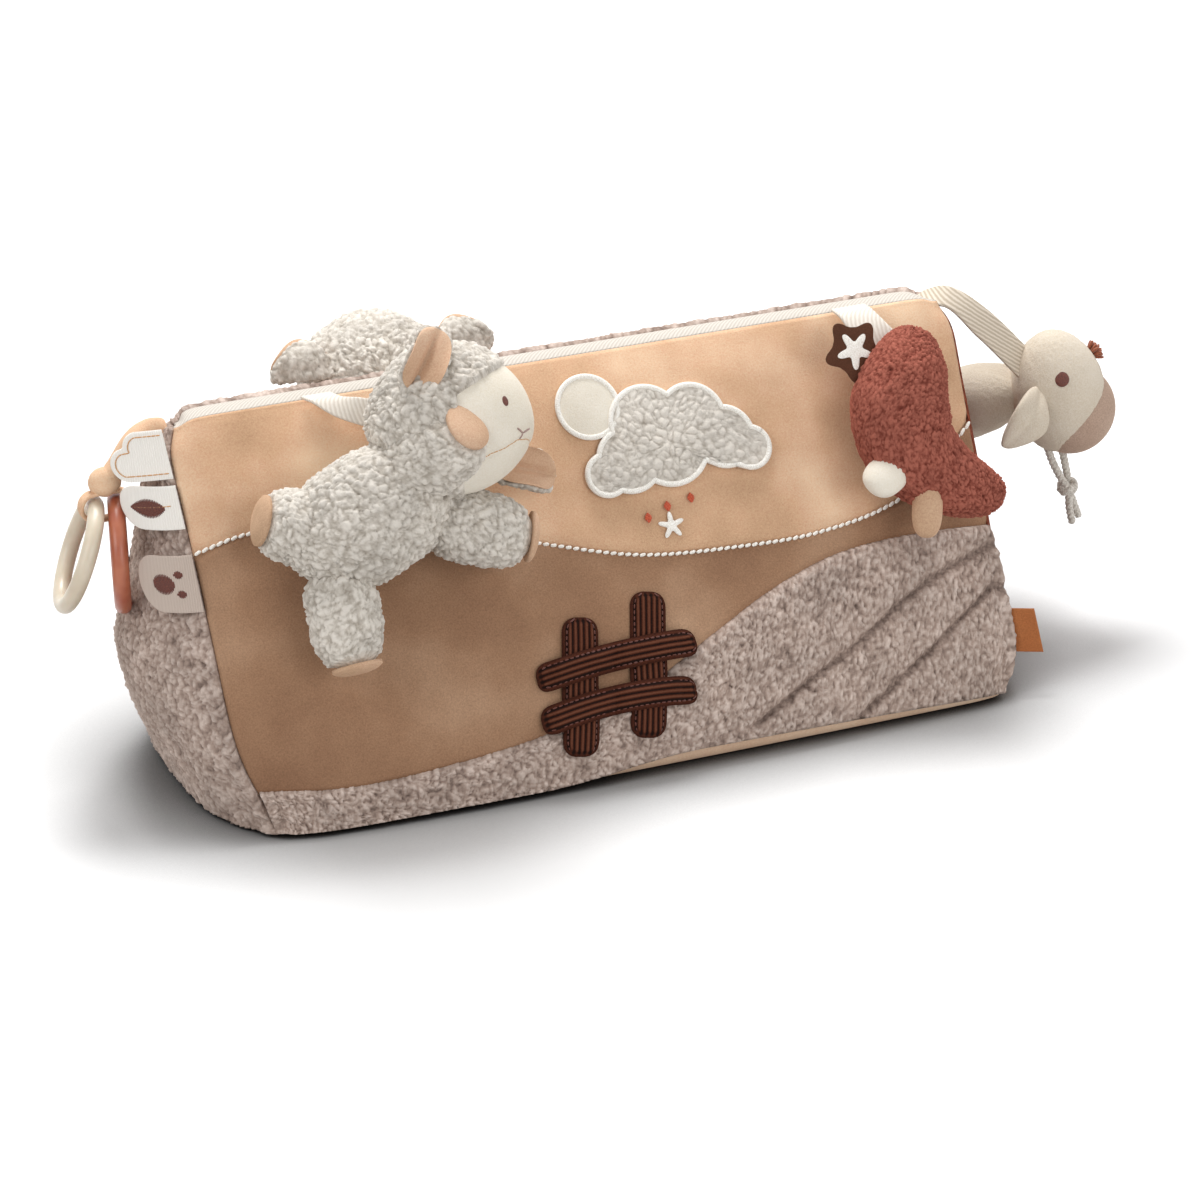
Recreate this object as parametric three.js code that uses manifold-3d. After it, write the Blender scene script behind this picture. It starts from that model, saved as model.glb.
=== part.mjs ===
// Baby activity triangle: a stuffed three-sided cushion with plush toys, labels and rings
// sewn into its seams. Millimetres, +Z up, origin on the floor under the cushion's middle.
// The front slope faces -Y, and the ridge runs along X.
import * as THREE from 'three';
import { mergeVertices } from 'three/addons/utils/BufferGeometryUtils.js';
import Module from 'manifold-3d';

const wasm = await Module();
wasm.setup();

// Cushion
const LENGTH = 450;
const BASE_DEPTH = 210;
const HEIGHT = 206;
const RIDGE_WIDTH = 20;
const LEFT_LEAN = 6;
const SEAM_RISE = 4;
const SEAM_ARCH = 6;
const FRONT_BULGE = 5;
const END_BULGE = 5;
const SIDE_TUCK = 2;
const FRONT_CROWN = 9;
const BACK_CROWN = 11;
const END_CROWN = 13;
const RIDGE_CROWN = 1.5;
const BASE_ROUNDING = 12;

// Cloth and clearances
const SKIN = 3;
const PILE = 3;
const PILE_EDGE = 9;
const SEWN_GAP = 0.4;
const TOY_CLEARANCE = 1.5;
const TAPE_CLEARANCE = 0.7;
const TAPE_THICKNESS = 1.2;
const LABEL_THICKNESS = 1;

// Seams across the front, measured up the slope from the floor: [x, height]
const HILL_EDGE = [[-225, 26], [-160, 19.5], [-100, 21.5], [-50, 27.5], [0, 40], [45, 62], [85, 81], [126, 94], [170, 98], [225, 97]];
const HORIZON = [[-225, 155], [-188, 161], [-120, 152], [-44, 130], [15, 113], [75, 108], [120, 108.5], [168, 118], [200, 137], [225, 156]];
const FURROWS = [
  [[58, 10], [94, 29], [127, 45], [160, 64], [187, 76], [222, 87]],
  [[118, 3], [152, 24], [180, 41], [216, 64]],
];
const FURROW_SHARE = 0.9;
const FURROW_WIDTH = 5;

// Toys: place of each tape along the ridge, from the ridge's ends
const LAMB_FROM_LEFT = 85;
const BACK_LAMB_FROM_LEFT = 149;
const BIRD_FROM_RIGHT = 62;
const LAMB_X = LAMB_FROM_LEFT - LENGTH / 2;
const BACK_LAMB_X = BACK_LAMB_FROM_LEFT - LENGTH / 2;
const BIRD_X = LENGTH / 2 - BIRD_FROM_RIGHT;
const LAMB_TAPE_WIDTH = 16;
const BIRD_TAPE_WIDTH = 20;
const COW_TAPE_WIDTH = 17;

// Rings
const RING_OUTER_DIAMETER = 64;
const RING_THICKNESS = 9;
const LOOP_THICKNESS = 8;

const V = (x, y, z) => new THREE.Vector3(x, y, z);
const lerp = THREE.MathUtils.lerp;
const slopeRun = (BASE_DEPTH - RIDGE_WIDTH) / 2;
const slopeLength = Math.hypot(slopeRun, HEIGHT);
const slopeAngle = Math.atan2(HEIGHT, slopeRun);

const assembly = new THREE.Group();

function addPart(parent, name, geometry, colour, roughness = 0.95) {
  const material = new THREE.MeshStandardMaterial({ color: colour, roughness, metalness: 0 });
  const mesh = new THREE.Mesh(geometry, material);
  mesh.name = name;
  parent.add(mesh);
  return mesh;
}

// Closed body between two grids of points: outer[i][j] and inner[i][j], i along u, j along v.
function closedSheet(outer, inner) {
  const columns = outer.length;
  const rows = outer[0].length;
  const positions = [];
  for (const grid of [outer, inner]) {
    grid.forEach((line) => line.forEach((p) => positions.push(p.x, p.y, p.z)));
  }
  const top = (i, j) => i * rows + j;
  const under = (i, j) => columns * rows + i * rows + j;
  const index = [];
  const quad = (a, b, c, d) => index.push(a, b, c, a, c, d);
  for (let i = 0; i < columns - 1; i += 1) {
    for (let j = 0; j < rows - 1; j += 1) {
      quad(top(i, j), top(i + 1, j), top(i + 1, j + 1), top(i, j + 1));
      quad(under(i, j), under(i, j + 1), under(i + 1, j + 1), under(i + 1, j));
    }
  }
  for (let i = 0; i < columns - 1; i += 1) {
    quad(under(i, 0), under(i + 1, 0), top(i + 1, 0), top(i, 0));
    quad(top(i, rows - 1), top(i + 1, rows - 1), under(i + 1, rows - 1), under(i, rows - 1));
  }
  for (let j = 0; j < rows - 1; j += 1) {
    quad(under(0, j + 1), under(0, j), top(0, j), top(0, j + 1));
    quad(under(columns - 1, j), under(columns - 1, j + 1), top(columns - 1, j + 1), top(columns - 1, j));
  }
  const geometry = new THREE.BufferGeometry();
  geometry.setAttribute('position', new THREE.Float32BufferAttribute(positions, 3));
  geometry.setIndex(index);
  return geometry;
}

// Joins and cuts
function solidOf(geometry) {
  const bare = geometry.clone();
  bare.deleteAttribute('normal');
  bare.deleteAttribute('uv');
  const merged = mergeVertices(bare, 1e-4);
  return new wasm.Manifold(new wasm.Mesh({
    numProp: 3,
    vertProperties: new Float32Array(merged.attributes.position.array),
    triVerts: new Uint32Array(merged.index.array),
  }));
}

function geometryOf(solid) {
  const mesh = solid.getMesh();
  const geometry = new THREE.BufferGeometry();
  geometry.setAttribute('position', new THREE.BufferAttribute(mesh.vertProperties, 3));
  geometry.setIndex(new THREE.BufferAttribute(mesh.triVerts, 1));
  return geometry;
}

// A cut can leave slivers behind the tool, so the largest body is kept
function cut(geometry, tools) {
  const rest = tools.reduce((solid, tool) => solid.subtract(solidOf(tool)), solidOf(geometry));
  return geometryOf(rest.decompose().reduce((a, b) => (a.volume() > b.volume() ? a : b)));
}

function join(geometries) {
  return geometryOf(geometries.map(solidOf).reduce((a, b) => a.add(b)));
}

// A block that fills the side of a plane towards which the normal points
function halfSpace(point, normal, reach = 200) {
  const block = new THREE.BoxGeometry(reach, reach, reach);
  block.translate(0, 0, reach / 2);
  block.applyQuaternion(new THREE.Quaternion().setFromUnitVectors(V(0, 0, 1), normal.clone().normalize()));
  block.translate(point.x, point.y, point.z);
  return block;
}

// The cushion's six seam-line planes
function plane(x, y, z, point) {
  const normal = V(x, y, z).normalize();
  return { normal, distance: normal.dot(point) };
}

const PLANES = {
  front: plane(0, -HEIGHT, slopeRun, V(0, -BASE_DEPTH / 2, 0)),
  back: plane(0, HEIGHT, slopeRun, V(0, BASE_DEPTH / 2, 0)),
  ridge: plane(0, 0, 1, V(0, 0, HEIGHT)),
  base: plane(0, 0, -1, V(0, 0, SEAM_RISE)),
  left: plane(-HEIGHT, 0, -LEFT_LEAN, V(-LENGTH / 2, 0, HEIGHT)),
  right: plane(1, 0, 0, V(LENGTH / 2, 0, 0)),
};

// Each face's neighbours at u = 0, u = 1, v = 0 and v = 1
const FACES = {
  front: ['left', 'right', 'base', 'ridge'],
  back: ['right', 'left', 'base', 'ridge'],
  ridge: ['left', 'right', 'front', 'back'],
  left: ['back', 'front', 'base', 'ridge'],
  right: ['front', 'back', 'base', 'ridge'],
  base: ['left', 'right', 'back', 'front'],
};

// How far each seam bows between its corners
const BOWS = {
  'base-front': V(0, -FRONT_BULGE, SEAM_ARCH),
  'back-base': V(0, FRONT_BULGE, SEAM_ARCH),
  'base-left': V(-END_BULGE, 0, SEAM_ARCH),
  'base-right': V(END_BULGE, 0, SEAM_ARCH),
  'front-left': V(SIDE_TUCK, 0, 0),
  'back-left': V(SIDE_TUCK, 0, 0),
  'front-right': V(-SIDE_TUCK, 0, 0),
  'back-right': V(-SIDE_TUCK, 0, 0),
};

const cornerCache = new Map();

function corner(faces, inset) {
  const key = faces.join() + inset;
  if (!cornerCache.has(key)) {
    const planes = faces.map((name) => PLANES[name]);
    const inverse = new THREE.Matrix3().set(...planes.flatMap((p) => p.normal.toArray())).invert();
    cornerCache.set(key, V(...planes.map((p) => p.distance - inset)).applyMatrix3(inverse));
  }
  return cornerCache.get(key);
}

function bow(a, b, t) {
  const vector = BOWS[[a, b].sort().join('-')] ?? V(0, 0, 0);
  return vector.clone().multiplyScalar(4 * t * (1 - t));
}

const dome = (t, power) => 1 - Math.abs(2 * t - 1) ** power;
const quarter = (t) => Math.sqrt(Math.max(0, 1 - (1 - Math.min(1, t)) ** 2));

// Point of a face between its four bowed seams, before its crown
function seamPoint(face, u, v, inset) {
  const [u0, u1, v0, v1] = FACES[face];
  const low = corner([face, u0, v0], inset).clone().lerp(corner([face, u1, v0], inset), u);
  const high = corner([face, u0, v1], inset).clone().lerp(corner([face, u1, v1], inset), u);
  return low.lerp(high, v)
    .addScaledVector(bow(face, v0, u), 1 - v)
    .addScaledVector(bow(face, v1, u), v)
    .addScaledVector(bow(face, u0, v), 1 - u)
    .addScaledVector(bow(face, u1, v), u);
}

function endCrown(u, v) {
  return END_CROWN * dome(u, 2) * (1 - v ** 2.2) * (1 - (1 - v) ** 4);
}

function baseCrown(u, v) {
  const across = Math.min(u, 1 - u) * LENGTH / BASE_ROUNDING;
  const along = Math.min(v, 1 - v) * BASE_DEPTH / BASE_ROUNDING;
  return seamPoint('base', u, v, 0).z * quarter(across) * quarter(along);
}

const CROWNS = {
  front: (u, v) => FRONT_CROWN * dome(u, 4) * dome(v, 2.4),
  back: (u, v) => BACK_CROWN * dome(u, 4) * dome(v, 2.4),
  ridge: (u, v) => RIDGE_CROWN * dome(u, 4) * dome(v, 2),
  left: endCrown,
  right: endCrown,
  base: baseCrown,
};

function facePoint(face, u, v, inset, lift = 0) {
  const height = CROWNS[face](u, v) + lift;
  return seamPoint(face, u, v, inset).addScaledVector(PLANES[face].normal, height);
}

// Draw the rim of a grid in from its seams, so that sewn neighbours keep a gap
function drawIn(grid) {
  const last = grid.length - 1;
  const end = grid[0].length - 1;
  const pull = (p, towards) => {
    const step = towards.clone().sub(p).normalize().multiplyScalar(SEWN_GAP / 2);
    p.add(step);
  };
  grid[0].forEach((p, j) => pull(p, grid[1][j]));
  grid[last].forEach((p, j) => pull(p, grid[last - 1][j]));
  grid.forEach((line) => {
    pull(line[0], line[1]);
    pull(line[end], line[end - 1]);
  });
  return grid;
}

const even = (count) => Array.from({ length: count + 1 }, (_, i) => i / count);
const ALONG = [0, 0.01, 0.03, 0.07, 0.12, 0.19, 0.28, 0.39, 0.5, 0.61, 0.72, 0.81, 0.88, 0.93, 0.97, 0.99, 1];
const ACROSS = [0, 0.02, 0.06, 0.15, 0.28, 0.42, 0.56, 0.7, 0.84, 0.94, 0.98, 1];

// Fleece stands above the seam line, and falls to it at its edges
function pileHeight(u, w, wide, high) {
  const rise = (d) => quarter(d / PILE_EDGE);
  return PILE * rise(u * wide) * rise((1 - u) * wide) * rise(w * high) * rise((1 - w) * high);
}

// One sewn panel: the part of a face between two curves v = from(u) and v = to(u)
function panel(face, columns, rows, { from = () => 0, to = () => 1, raise = () => 0 } = {}) {
  const grid = (inset, lift) => drawIn(columns.map((u) => rows.map((w) => {
    const v = lerp(from(u), to(u), w);
    return facePoint(face, u, v, inset, lift(u, w));
  })));
  return closedSheet(grid(0, raise), grid(SKIN, () => 0));
}

// Heights up the front slope from a list of places, as a smooth curve through them
function smoothHeight(points, x) {
  let k = points.findIndex((p) => p[0] > x) - 1;
  if (k < 0) {
    k = x < points[0][0] ? 0 : points.length - 2;
  }
  const p = (i) => points[THREE.MathUtils.clamp(i, 0, points.length - 1)];
  const slope = (i) => (p(i + 1)[1] - p(i - 1)[1]) / (p(i + 1)[0] - p(i - 1)[0]);
  const width = p(k + 1)[0] - p(k)[0];
  const t = THREE.MathUtils.clamp((x - p(k)[0]) / width, 0, 1);
  const a = p(k)[1];
  const b = p(k + 1)[1];
  const ma = slope(k) * width;
  const mb = slope(k + 1) * width;
  const t2 = t * t;
  const t3 = t2 * t;
  return (2 * t3 - 3 * t2 + 1) * a + (t3 - 2 * t2 + t) * ma + (3 * t2 - 2 * t3) * b + (t3 - t2) * mb;
}

// Front slope: from x and height up the slope to the face's own u and v, and back
const seamHeight = SEAM_RISE * slopeLength / HEIGHT;
const frontV = (s) => (s - seamHeight) / (slopeLength - seamHeight);
const leftEdge = (v) => -LENGTH / 2 + LEFT_LEAN * (1 - v);
const frontU = (x, v) => (x - leftEdge(v)) / (LENGTH / 2 - leftEdge(v));
const seamX = (u) => lerp(-LENGTH / 2, LENGTH / 2, u);
const hillV = (u) => frontV(smoothHeight(HILL_EDGE, seamX(u)));
const horizonV = (u) => frontV(smoothHeight(HORIZON, seamX(u)));

function onFront(x, s, lift) {
  const v = frontV(s);
  return facePoint('front', frontU(x, v), v, 0, lift);
}

// Sewn furrows press the pile down: the share of its height that is lost
function furrow(u, w) {
  const x = seamX(u);
  const s = seamHeight + lerp(0, hillV(u), w) * (slopeLength - seamHeight);
  return FURROWS.reduce((share, line) => {
    const inside = THREE.MathUtils.smoothstep(x, line[0][0] - 8, line[0][0] + 8);
    const away = (s - smoothHeight(line, x)) / FURROW_WIDTH;
    return share + FURROW_SHARE * inside * Math.exp(-away * away);
  }, 0);
}

// Panels of the cushion
const cushion = new THREE.Group();
assembly.add(cushion);
const TAN = 0xc9a07a;
const FLEECE = 0xb8a598;
const CREAM = 0xf2ede6;
const WOOL = 0xd9d6cf;

const FRONT_ALONG = [0, 0.01, 0.03, 0.07, 0.13, 0.2, 0.28, 0.36, 0.44, 0.5, 0.56]
  .concat(Array.from({ length: 19 }, (_, i) => lerp(0.59, 0.96, i / 18)), [0.98, 0.99, 1]);
addPart(cushion, 'front_sky_panel', panel('front', FRONT_ALONG, even(5), { from: horizonV }), TAN);
const fieldEdges = { from: hillV, to: horizonV };
addPart(cushion, 'front_field_panel', panel('front', FRONT_ALONG, even(5), fieldEdges), TAN);

const HILL_UP = [0, 0.06, 0.14, 0.22, 0.3, 0.38, 0.46, 0.54, 0.62, 0.7, 0.78, 0.86, 0.94, 1];
const hillPile = (u, w) => pileHeight(u, w, LENGTH, hillV(u) * slopeLength) * (1 - furrow(u, w));
const hillEdges = { to: hillV, raise: hillPile };
addPart(cushion, 'front_hill_fleece', panel('front', FRONT_ALONG, HILL_UP, hillEdges), FLEECE);

const backPile = (u, w) => pileHeight(u, w, LENGTH, slopeLength);
const endPile = (u, w) => pileHeight(u, w, lerp(BASE_DEPTH, RIDGE_WIDTH, w), slopeLength);
addPart(cushion, 'back_panel', panel('back', ALONG, ACROSS, { raise: backPile }), FLEECE);
addPart(cushion, 'left_end_panel', panel('left', ACROSS, ACROSS, { raise: endPile }), FLEECE);
addPart(cushion, 'right_end_panel', panel('right', ACROSS, ACROSS), 0x7e3b25);
addPart(cushion, 'ridge_gusset', panel('ridge', ALONG, even(3)), CREAM);

const BASE_ALONG = [0, 0.002, 0.006, 0.014, BASE_ROUNDING / LENGTH, 0.16, 0.34, 0.55, 0.7, 0.85]
  .concat([1 - BASE_ROUNDING / LENGTH, 0.986, 0.994, 0.998, 1]);
const BASE_ACROSS = [0, 0.004, 0.013, 0.03, BASE_ROUNDING / BASE_DEPTH, 0.3, 0.6]
  .concat([1 - BASE_ROUNDING / BASE_DEPTH, 0.97, 0.987, 0.996, 1]);
addPart(cushion, 'base_panel', panel('base', BASE_ALONG, BASE_ACROSS), TAN);

// Filling: one closed body just inside the panels
function stuffing() {
  const along = [0, 0.02, 0.07, 0.15, 0.28, 0.42, 0.58, 0.72, 0.85, 0.93, 0.98, 1];
  const up = even(8);
  const across = even(6);
  const inset = SKIN + 1.5 * SEWN_GAP;
  const axes = { front: [along, up], back: [along, up], ridge: [along, across], base: [along, across] };
  axes.left = [across, up];
  axes.right = [across, up];
  const positions = [];
  const index = [];
  for (const [face, [us, vs]] of Object.entries(axes)) {
    const start = positions.length / 3;
    us.forEach((u) => vs.forEach((v) => positions.push(...facePoint(face, u, v, inset).toArray())));
    for (let i = 0; i < us.length - 1; i += 1) {
      for (let j = 0; j < vs.length - 1; j += 1) {
        const a = start + i * vs.length + j;
        const b = a + vs.length;
        index.push(a, b, b + 1, a, b + 1, a + 1);
      }
    }
  }
  const geometry = new THREE.BufferGeometry();
  geometry.setAttribute('position', new THREE.Float32BufferAttribute(positions, 3));
  geometry.setIndex(index);
  return mergeVertices(geometry, 1e-3);
}
addPart(cushion, 'stuffing_core', stuffing(), 0xf7f5f0);

// Fence: padded strips with round ends, sewn on the front, the rails over the uprights
const FENCE_THICKNESS = 2.6;
const UPRIGHT_WIDTH = 20;
const RAIL_WIDTH = 15.5;
const UPRIGHTS = [
  { name: 'fence_upright_left', start: [-38, 13], end: [-25, 86] },
  { name: 'fence_upright_right', start: [0.5, 16], end: [15, 93] },
];
const RAILS = [
  { name: 'fence_rail_top', start: [-54.5, 57], end: [36, 62], bow: 2.5 },
  { name: 'fence_rail_bottom', start: [-56, 34], end: [31.5, 36.5], bow: 4 },
];

// Height of what lies under a strip: the hill's pile, and an upright under a rail
function hillLift(x, s) {
  const edge = smoothHeight(HILL_EDGE, x);
  return PILE * (1 - THREE.MathUtils.smoothstep(s, edge - 1, edge + 2 * PILE_EDGE));
}

function uprightLift(x, s) {
  return UPRIGHTS.reduce((height, { start, end }) => {
    const middle = lerp(start[0], end[0], (s - start[1]) / (end[1] - start[1]));
    const away = Math.abs(x - middle) - UPRIGHT_WIDTH / 2;
    const over = 1 - THREE.MathUtils.smoothstep(away, 3, 10);
    return Math.max(height, (FENCE_THICKNESS + SEWN_GAP) * over);
  }, 0);
}

function sewnStrip({ start, end, bow: rise = 0 }, width, lift) {
  const a = new THREE.Vector2(...start);
  const b = new THREE.Vector2(...end);
  const length = a.distanceTo(b);
  const forward = b.clone().sub(a).normalize();
  const side = new THREE.Vector2(-forward.y, forward.x);
  const radius = width / 2;
  const tip = [0.05, 0.3, 0.65, 1].map((k) => k * radius);
  const steps = Math.round((length - width) / 7);
  const middle = Array.from({ length: steps - 1 }, (_, i) => lerp(radius, length - radius, (i + 1) / steps));
  const stations = tip.concat(middle, tip.map((d) => length - d).reverse());
  const spread = [-1, -0.6, -0.2, 0.2, 0.6, 1];
  const grid = (height) => stations.map((d) => spread.map((w) => {
    const inset = Math.max(0, radius - Math.min(d, length - d));
    const half = Math.sqrt(radius * radius - inset * inset);
    const p = a.clone().addScaledVector(forward, d).addScaledVector(side, w * half);
    p.addScaledVector(side, rise * 4 * (d / length) * (1 - d / length));
    return onFront(p.x, p.y, SEWN_GAP + lift(p.x, p.y) + height(w, half));
  }));
  const crown = (w, half) => FENCE_THICKNESS * lerp(0.35, 1, 1 - w ** 4) * Math.min(1, half / radius + 0.3);
  return closedSheet(grid(crown), grid(() => 0));
}

const BROWN = 0x4a2216;
UPRIGHTS.forEach((strip) => addPart(cushion, strip.name, sewnStrip(strip, UPRIGHT_WIDTH, hillLift), BROWN));
const railLift = (x, s) => hillLift(x, s) + uprightLift(x, s);
RAILS.forEach((strip) => addPart(cushion, strip.name, sewnStrip(strip, RAIL_WIDTH, railLift), BROWN));

// Sewn pictures: flat padded shapes given by a polar outline about a centre on the slope
function applique([x, s], outline, sides, thickness, grow = 0) {
  const rings = [0.06, 0.4, 0.75, 1];
  const angles = Array.from({ length: sides }, (_, i) => 2 * Math.PI * i / sides);
  const positions = [];
  const index = [];
  const at = (k, angle, lift) => {
    const reach = (outline(angle) + grow) * k;
    return onFront(x + reach * Math.cos(angle), s + reach * Math.sin(angle), lift);
  };
  const crown = (k) => SEWN_GAP + thickness * lerp(0.45, 1, 1 - k ** 4) + grow;
  const layers = [...rings.map((k) => [k, crown(k)]), ...rings.slice().reverse().map((k) => [k, SEWN_GAP - grow])];
  layers.forEach(([k, lift]) => angles.forEach((angle) => positions.push(...at(k, angle, lift).toArray())));
  for (let ring = 0; ring < layers.length - 1; ring += 1) {
    for (let i = 0; i < sides; i += 1) {
      const a = ring * sides + i;
      const b = ring * sides + (i + 1) % sides;
      index.push(a, a + sides, b + sides, a, b + sides, b);
    }
  }
  const top = positions.length / 3;
  positions.push(...at(0, 0, crown(0)).toArray(), ...at(0, 0, SEWN_GAP - grow).toArray());
  const lastRing = (layers.length - 1) * sides;
  for (let i = 0; i < sides; i += 1) {
    const next = (i + 1) % sides;
    index.push(top, i, next, top + 1, lastRing + next, lastRing + i);
  }
  const geometry = new THREE.BufferGeometry();
  geometry.setAttribute('position', new THREE.Float32BufferAttribute(positions, 3));
  geometry.setIndex(index);
  return geometry;
}

// Polar outline of a union of circles [x, y, radius] that all hold or reach the centre
function lobed(circles) {
  return (angle) => Math.max(...circles.map(([cx, cy, r]) => {
    const along = cx * Math.cos(angle) + cy * Math.sin(angle);
    const across = cx * Math.sin(angle) - cy * Math.cos(angle);
    const half = r * r - across * across;
    return half > 0 ? along + Math.sqrt(half) : 4;
  }));
}

const starOutline = (outer, inner) => (angle) => {
  const phase = (1 + Math.cos(5 * (angle - Math.PI / 2))) / 2;
  return lerp(inner, outer, phase ** 1.6);
};

const CLOUD_AT = [44, 168];
const MOON_AT = [4, 196];
const STAR_AT = [36, 125.5];
const PICTURE_THICKNESS = 2.5;
const CLOUD = lobed([[0, 0, 21], [-24, -4, 17], [-38, -10, 11], [-10, 14, 20], [16, 13, 18], [32, 0, 16], [45, -8, 11]]);
addPart(cushion, 'picture_cloud', applique(CLOUD_AT, CLOUD, 44, PICTURE_THICKNESS), WOOL);
const cloudSeat = applique(CLOUD_AT, CLOUD, 44, PICTURE_THICKNESS, 1.2);
const moon = applique(MOON_AT, () => 18, 28, PICTURE_THICKNESS * 0.8);
addPart(cushion, 'picture_moon', cut(moon, [cloudSeat]), 0xede5cf);
addPart(cushion, 'picture_star', applique(STAR_AT, starOutline(9, 4.2), 20, 1.2), CREAM);

// Stuffed form along a curved line: a swelling tube with round ends.
// stations are [x, y, z, half width, half depth] and across is the width's direction.
function stuffed(stations, across, { sides = 10, steps = 8, roundness = 2, grow = 0 } = {}) {
  const path = new THREE.CatmullRomCurve3(stations.map(([x, y, z]) => V(x, y, z)), false, 'centripetal');
  const size = new THREE.CatmullRomCurve3(stations.map(([, , , a, b], i) => V(a, b, i)), false, 'centripetal');
  const positions = [];
  const index = [];
  const rings = Array.from({ length: steps - 1 }, (_, i) => (1 - Math.cos(Math.PI * (i + 1) / steps)) / 2);
  rings.forEach((t) => {
    const centre = path.getPoint(t);
    const forward = path.getTangent(t);
    const wide = across.clone().addScaledVector(forward, -across.dot(forward)).normalize();
    const deep = forward.clone().cross(wide);
    const girth = size.getPoint(t);
    const end = (1 - Math.abs(2 * t - 1) ** roundness) ** (1 / roundness);
    for (let k = 0; k < sides; k += 1) {
      const angle = 2 * Math.PI * k / sides;
      const p = centre.clone()
        .addScaledVector(wide, (girth.x * end + grow) * Math.cos(angle))
        .addScaledVector(deep, (girth.y * end + grow) * Math.sin(angle));
      positions.push(...p.toArray());
    }
  });
  for (let ring = 0; ring < rings.length - 1; ring += 1) {
    for (let k = 0; k < sides; k += 1) {
      const a = ring * sides + k;
      const b = ring * sides + (k + 1) % sides;
      index.push(a, b, b + sides, a, b + sides, a + sides);
    }
  }
  const first = positions.length / 3;
  const nose = path.getPoint(0).addScaledVector(path.getTangent(0), -grow);
  const tail = path.getPoint(1).addScaledVector(path.getTangent(1), grow);
  positions.push(...nose.toArray(), ...tail.toArray());
  const lastRing = (rings.length - 1) * sides;
  for (let k = 0; k < sides; k += 1) {
    const next = (k + 1) % sides;
    index.push(first, next, k, first + 1, lastRing + k, lastRing + next);
  }
  const geometry = new THREE.BufferGeometry();
  geometry.setAttribute('position', new THREE.Float32BufferAttribute(positions, 3));
  geometry.setIndex(index);
  return geometry;
}

// Flat tape along a line of stations [x, y, z], each with the direction of its width
function tape(stations, width, steps = 8) {
  const path = new THREE.CatmullRomCurve3(stations.map(({ at }) => V(...at)));
  const turn = new THREE.CatmullRomCurve3(stations.map(({ wide }) => V(...wide).normalize()));
  const rows = (side) => even(steps).map((t) => [0.5, -0.5].map((w) => {
    const forward = path.getTangent(t);
    const wide = turn.getPoint(t);
    const up = wide.normalize().clone().cross(forward).normalize();
    return path.getPoint(t).addScaledVector(wide, w * width).addScaledVector(up, side * TAPE_THICKNESS / 2);
  }));
  return closedSheet(rows(1), rows(-1));
}

// A sloping face's own frame: x along the ridge, y up the slope from the ridge seam, z off the face
function slopeGroup(turn) {
  const turned = new THREE.Group();
  turned.rotation.z = turn;
  const face = new THREE.Group();
  face.position.set(0, -RIDGE_WIDTH / 2, HEIGHT);
  face.rotation.x = slopeAngle;
  turned.add(face);
  assembly.add(turned);
  return face;
}

const frontSlope = slopeGroup(0);
const backSlope = slopeGroup(Math.PI);

// Greatest height of a slope's cloth above its seam plane, within the area that a toy covers
function restHeight(face, [left, right], reach, pile = 0) {
  const { normal, distance } = PLANES[face];
  const heights = even(8).flatMap((i) => even(8).map((j) => {
    const u = Math.min(1, lerp(left, right, i) / LENGTH + 0.5);
    const v = 1 - j * reach / slopeLength;
    return facePoint(face, u, v, 0).dot(normal) - distance;
  }));
  return Math.max(...heights) + pile + TOY_CLEARANCE;
}

// Lamb: body, head with a velour face, two ears and four limbs. Places are from its tape's
// end on the ridge seam, with z measured from the face's highest crown.
const LAMB_HEAD = [42, 40, 32];
const LAMB_LIMB = 18;
const FACE_STEP = 2;

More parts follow.
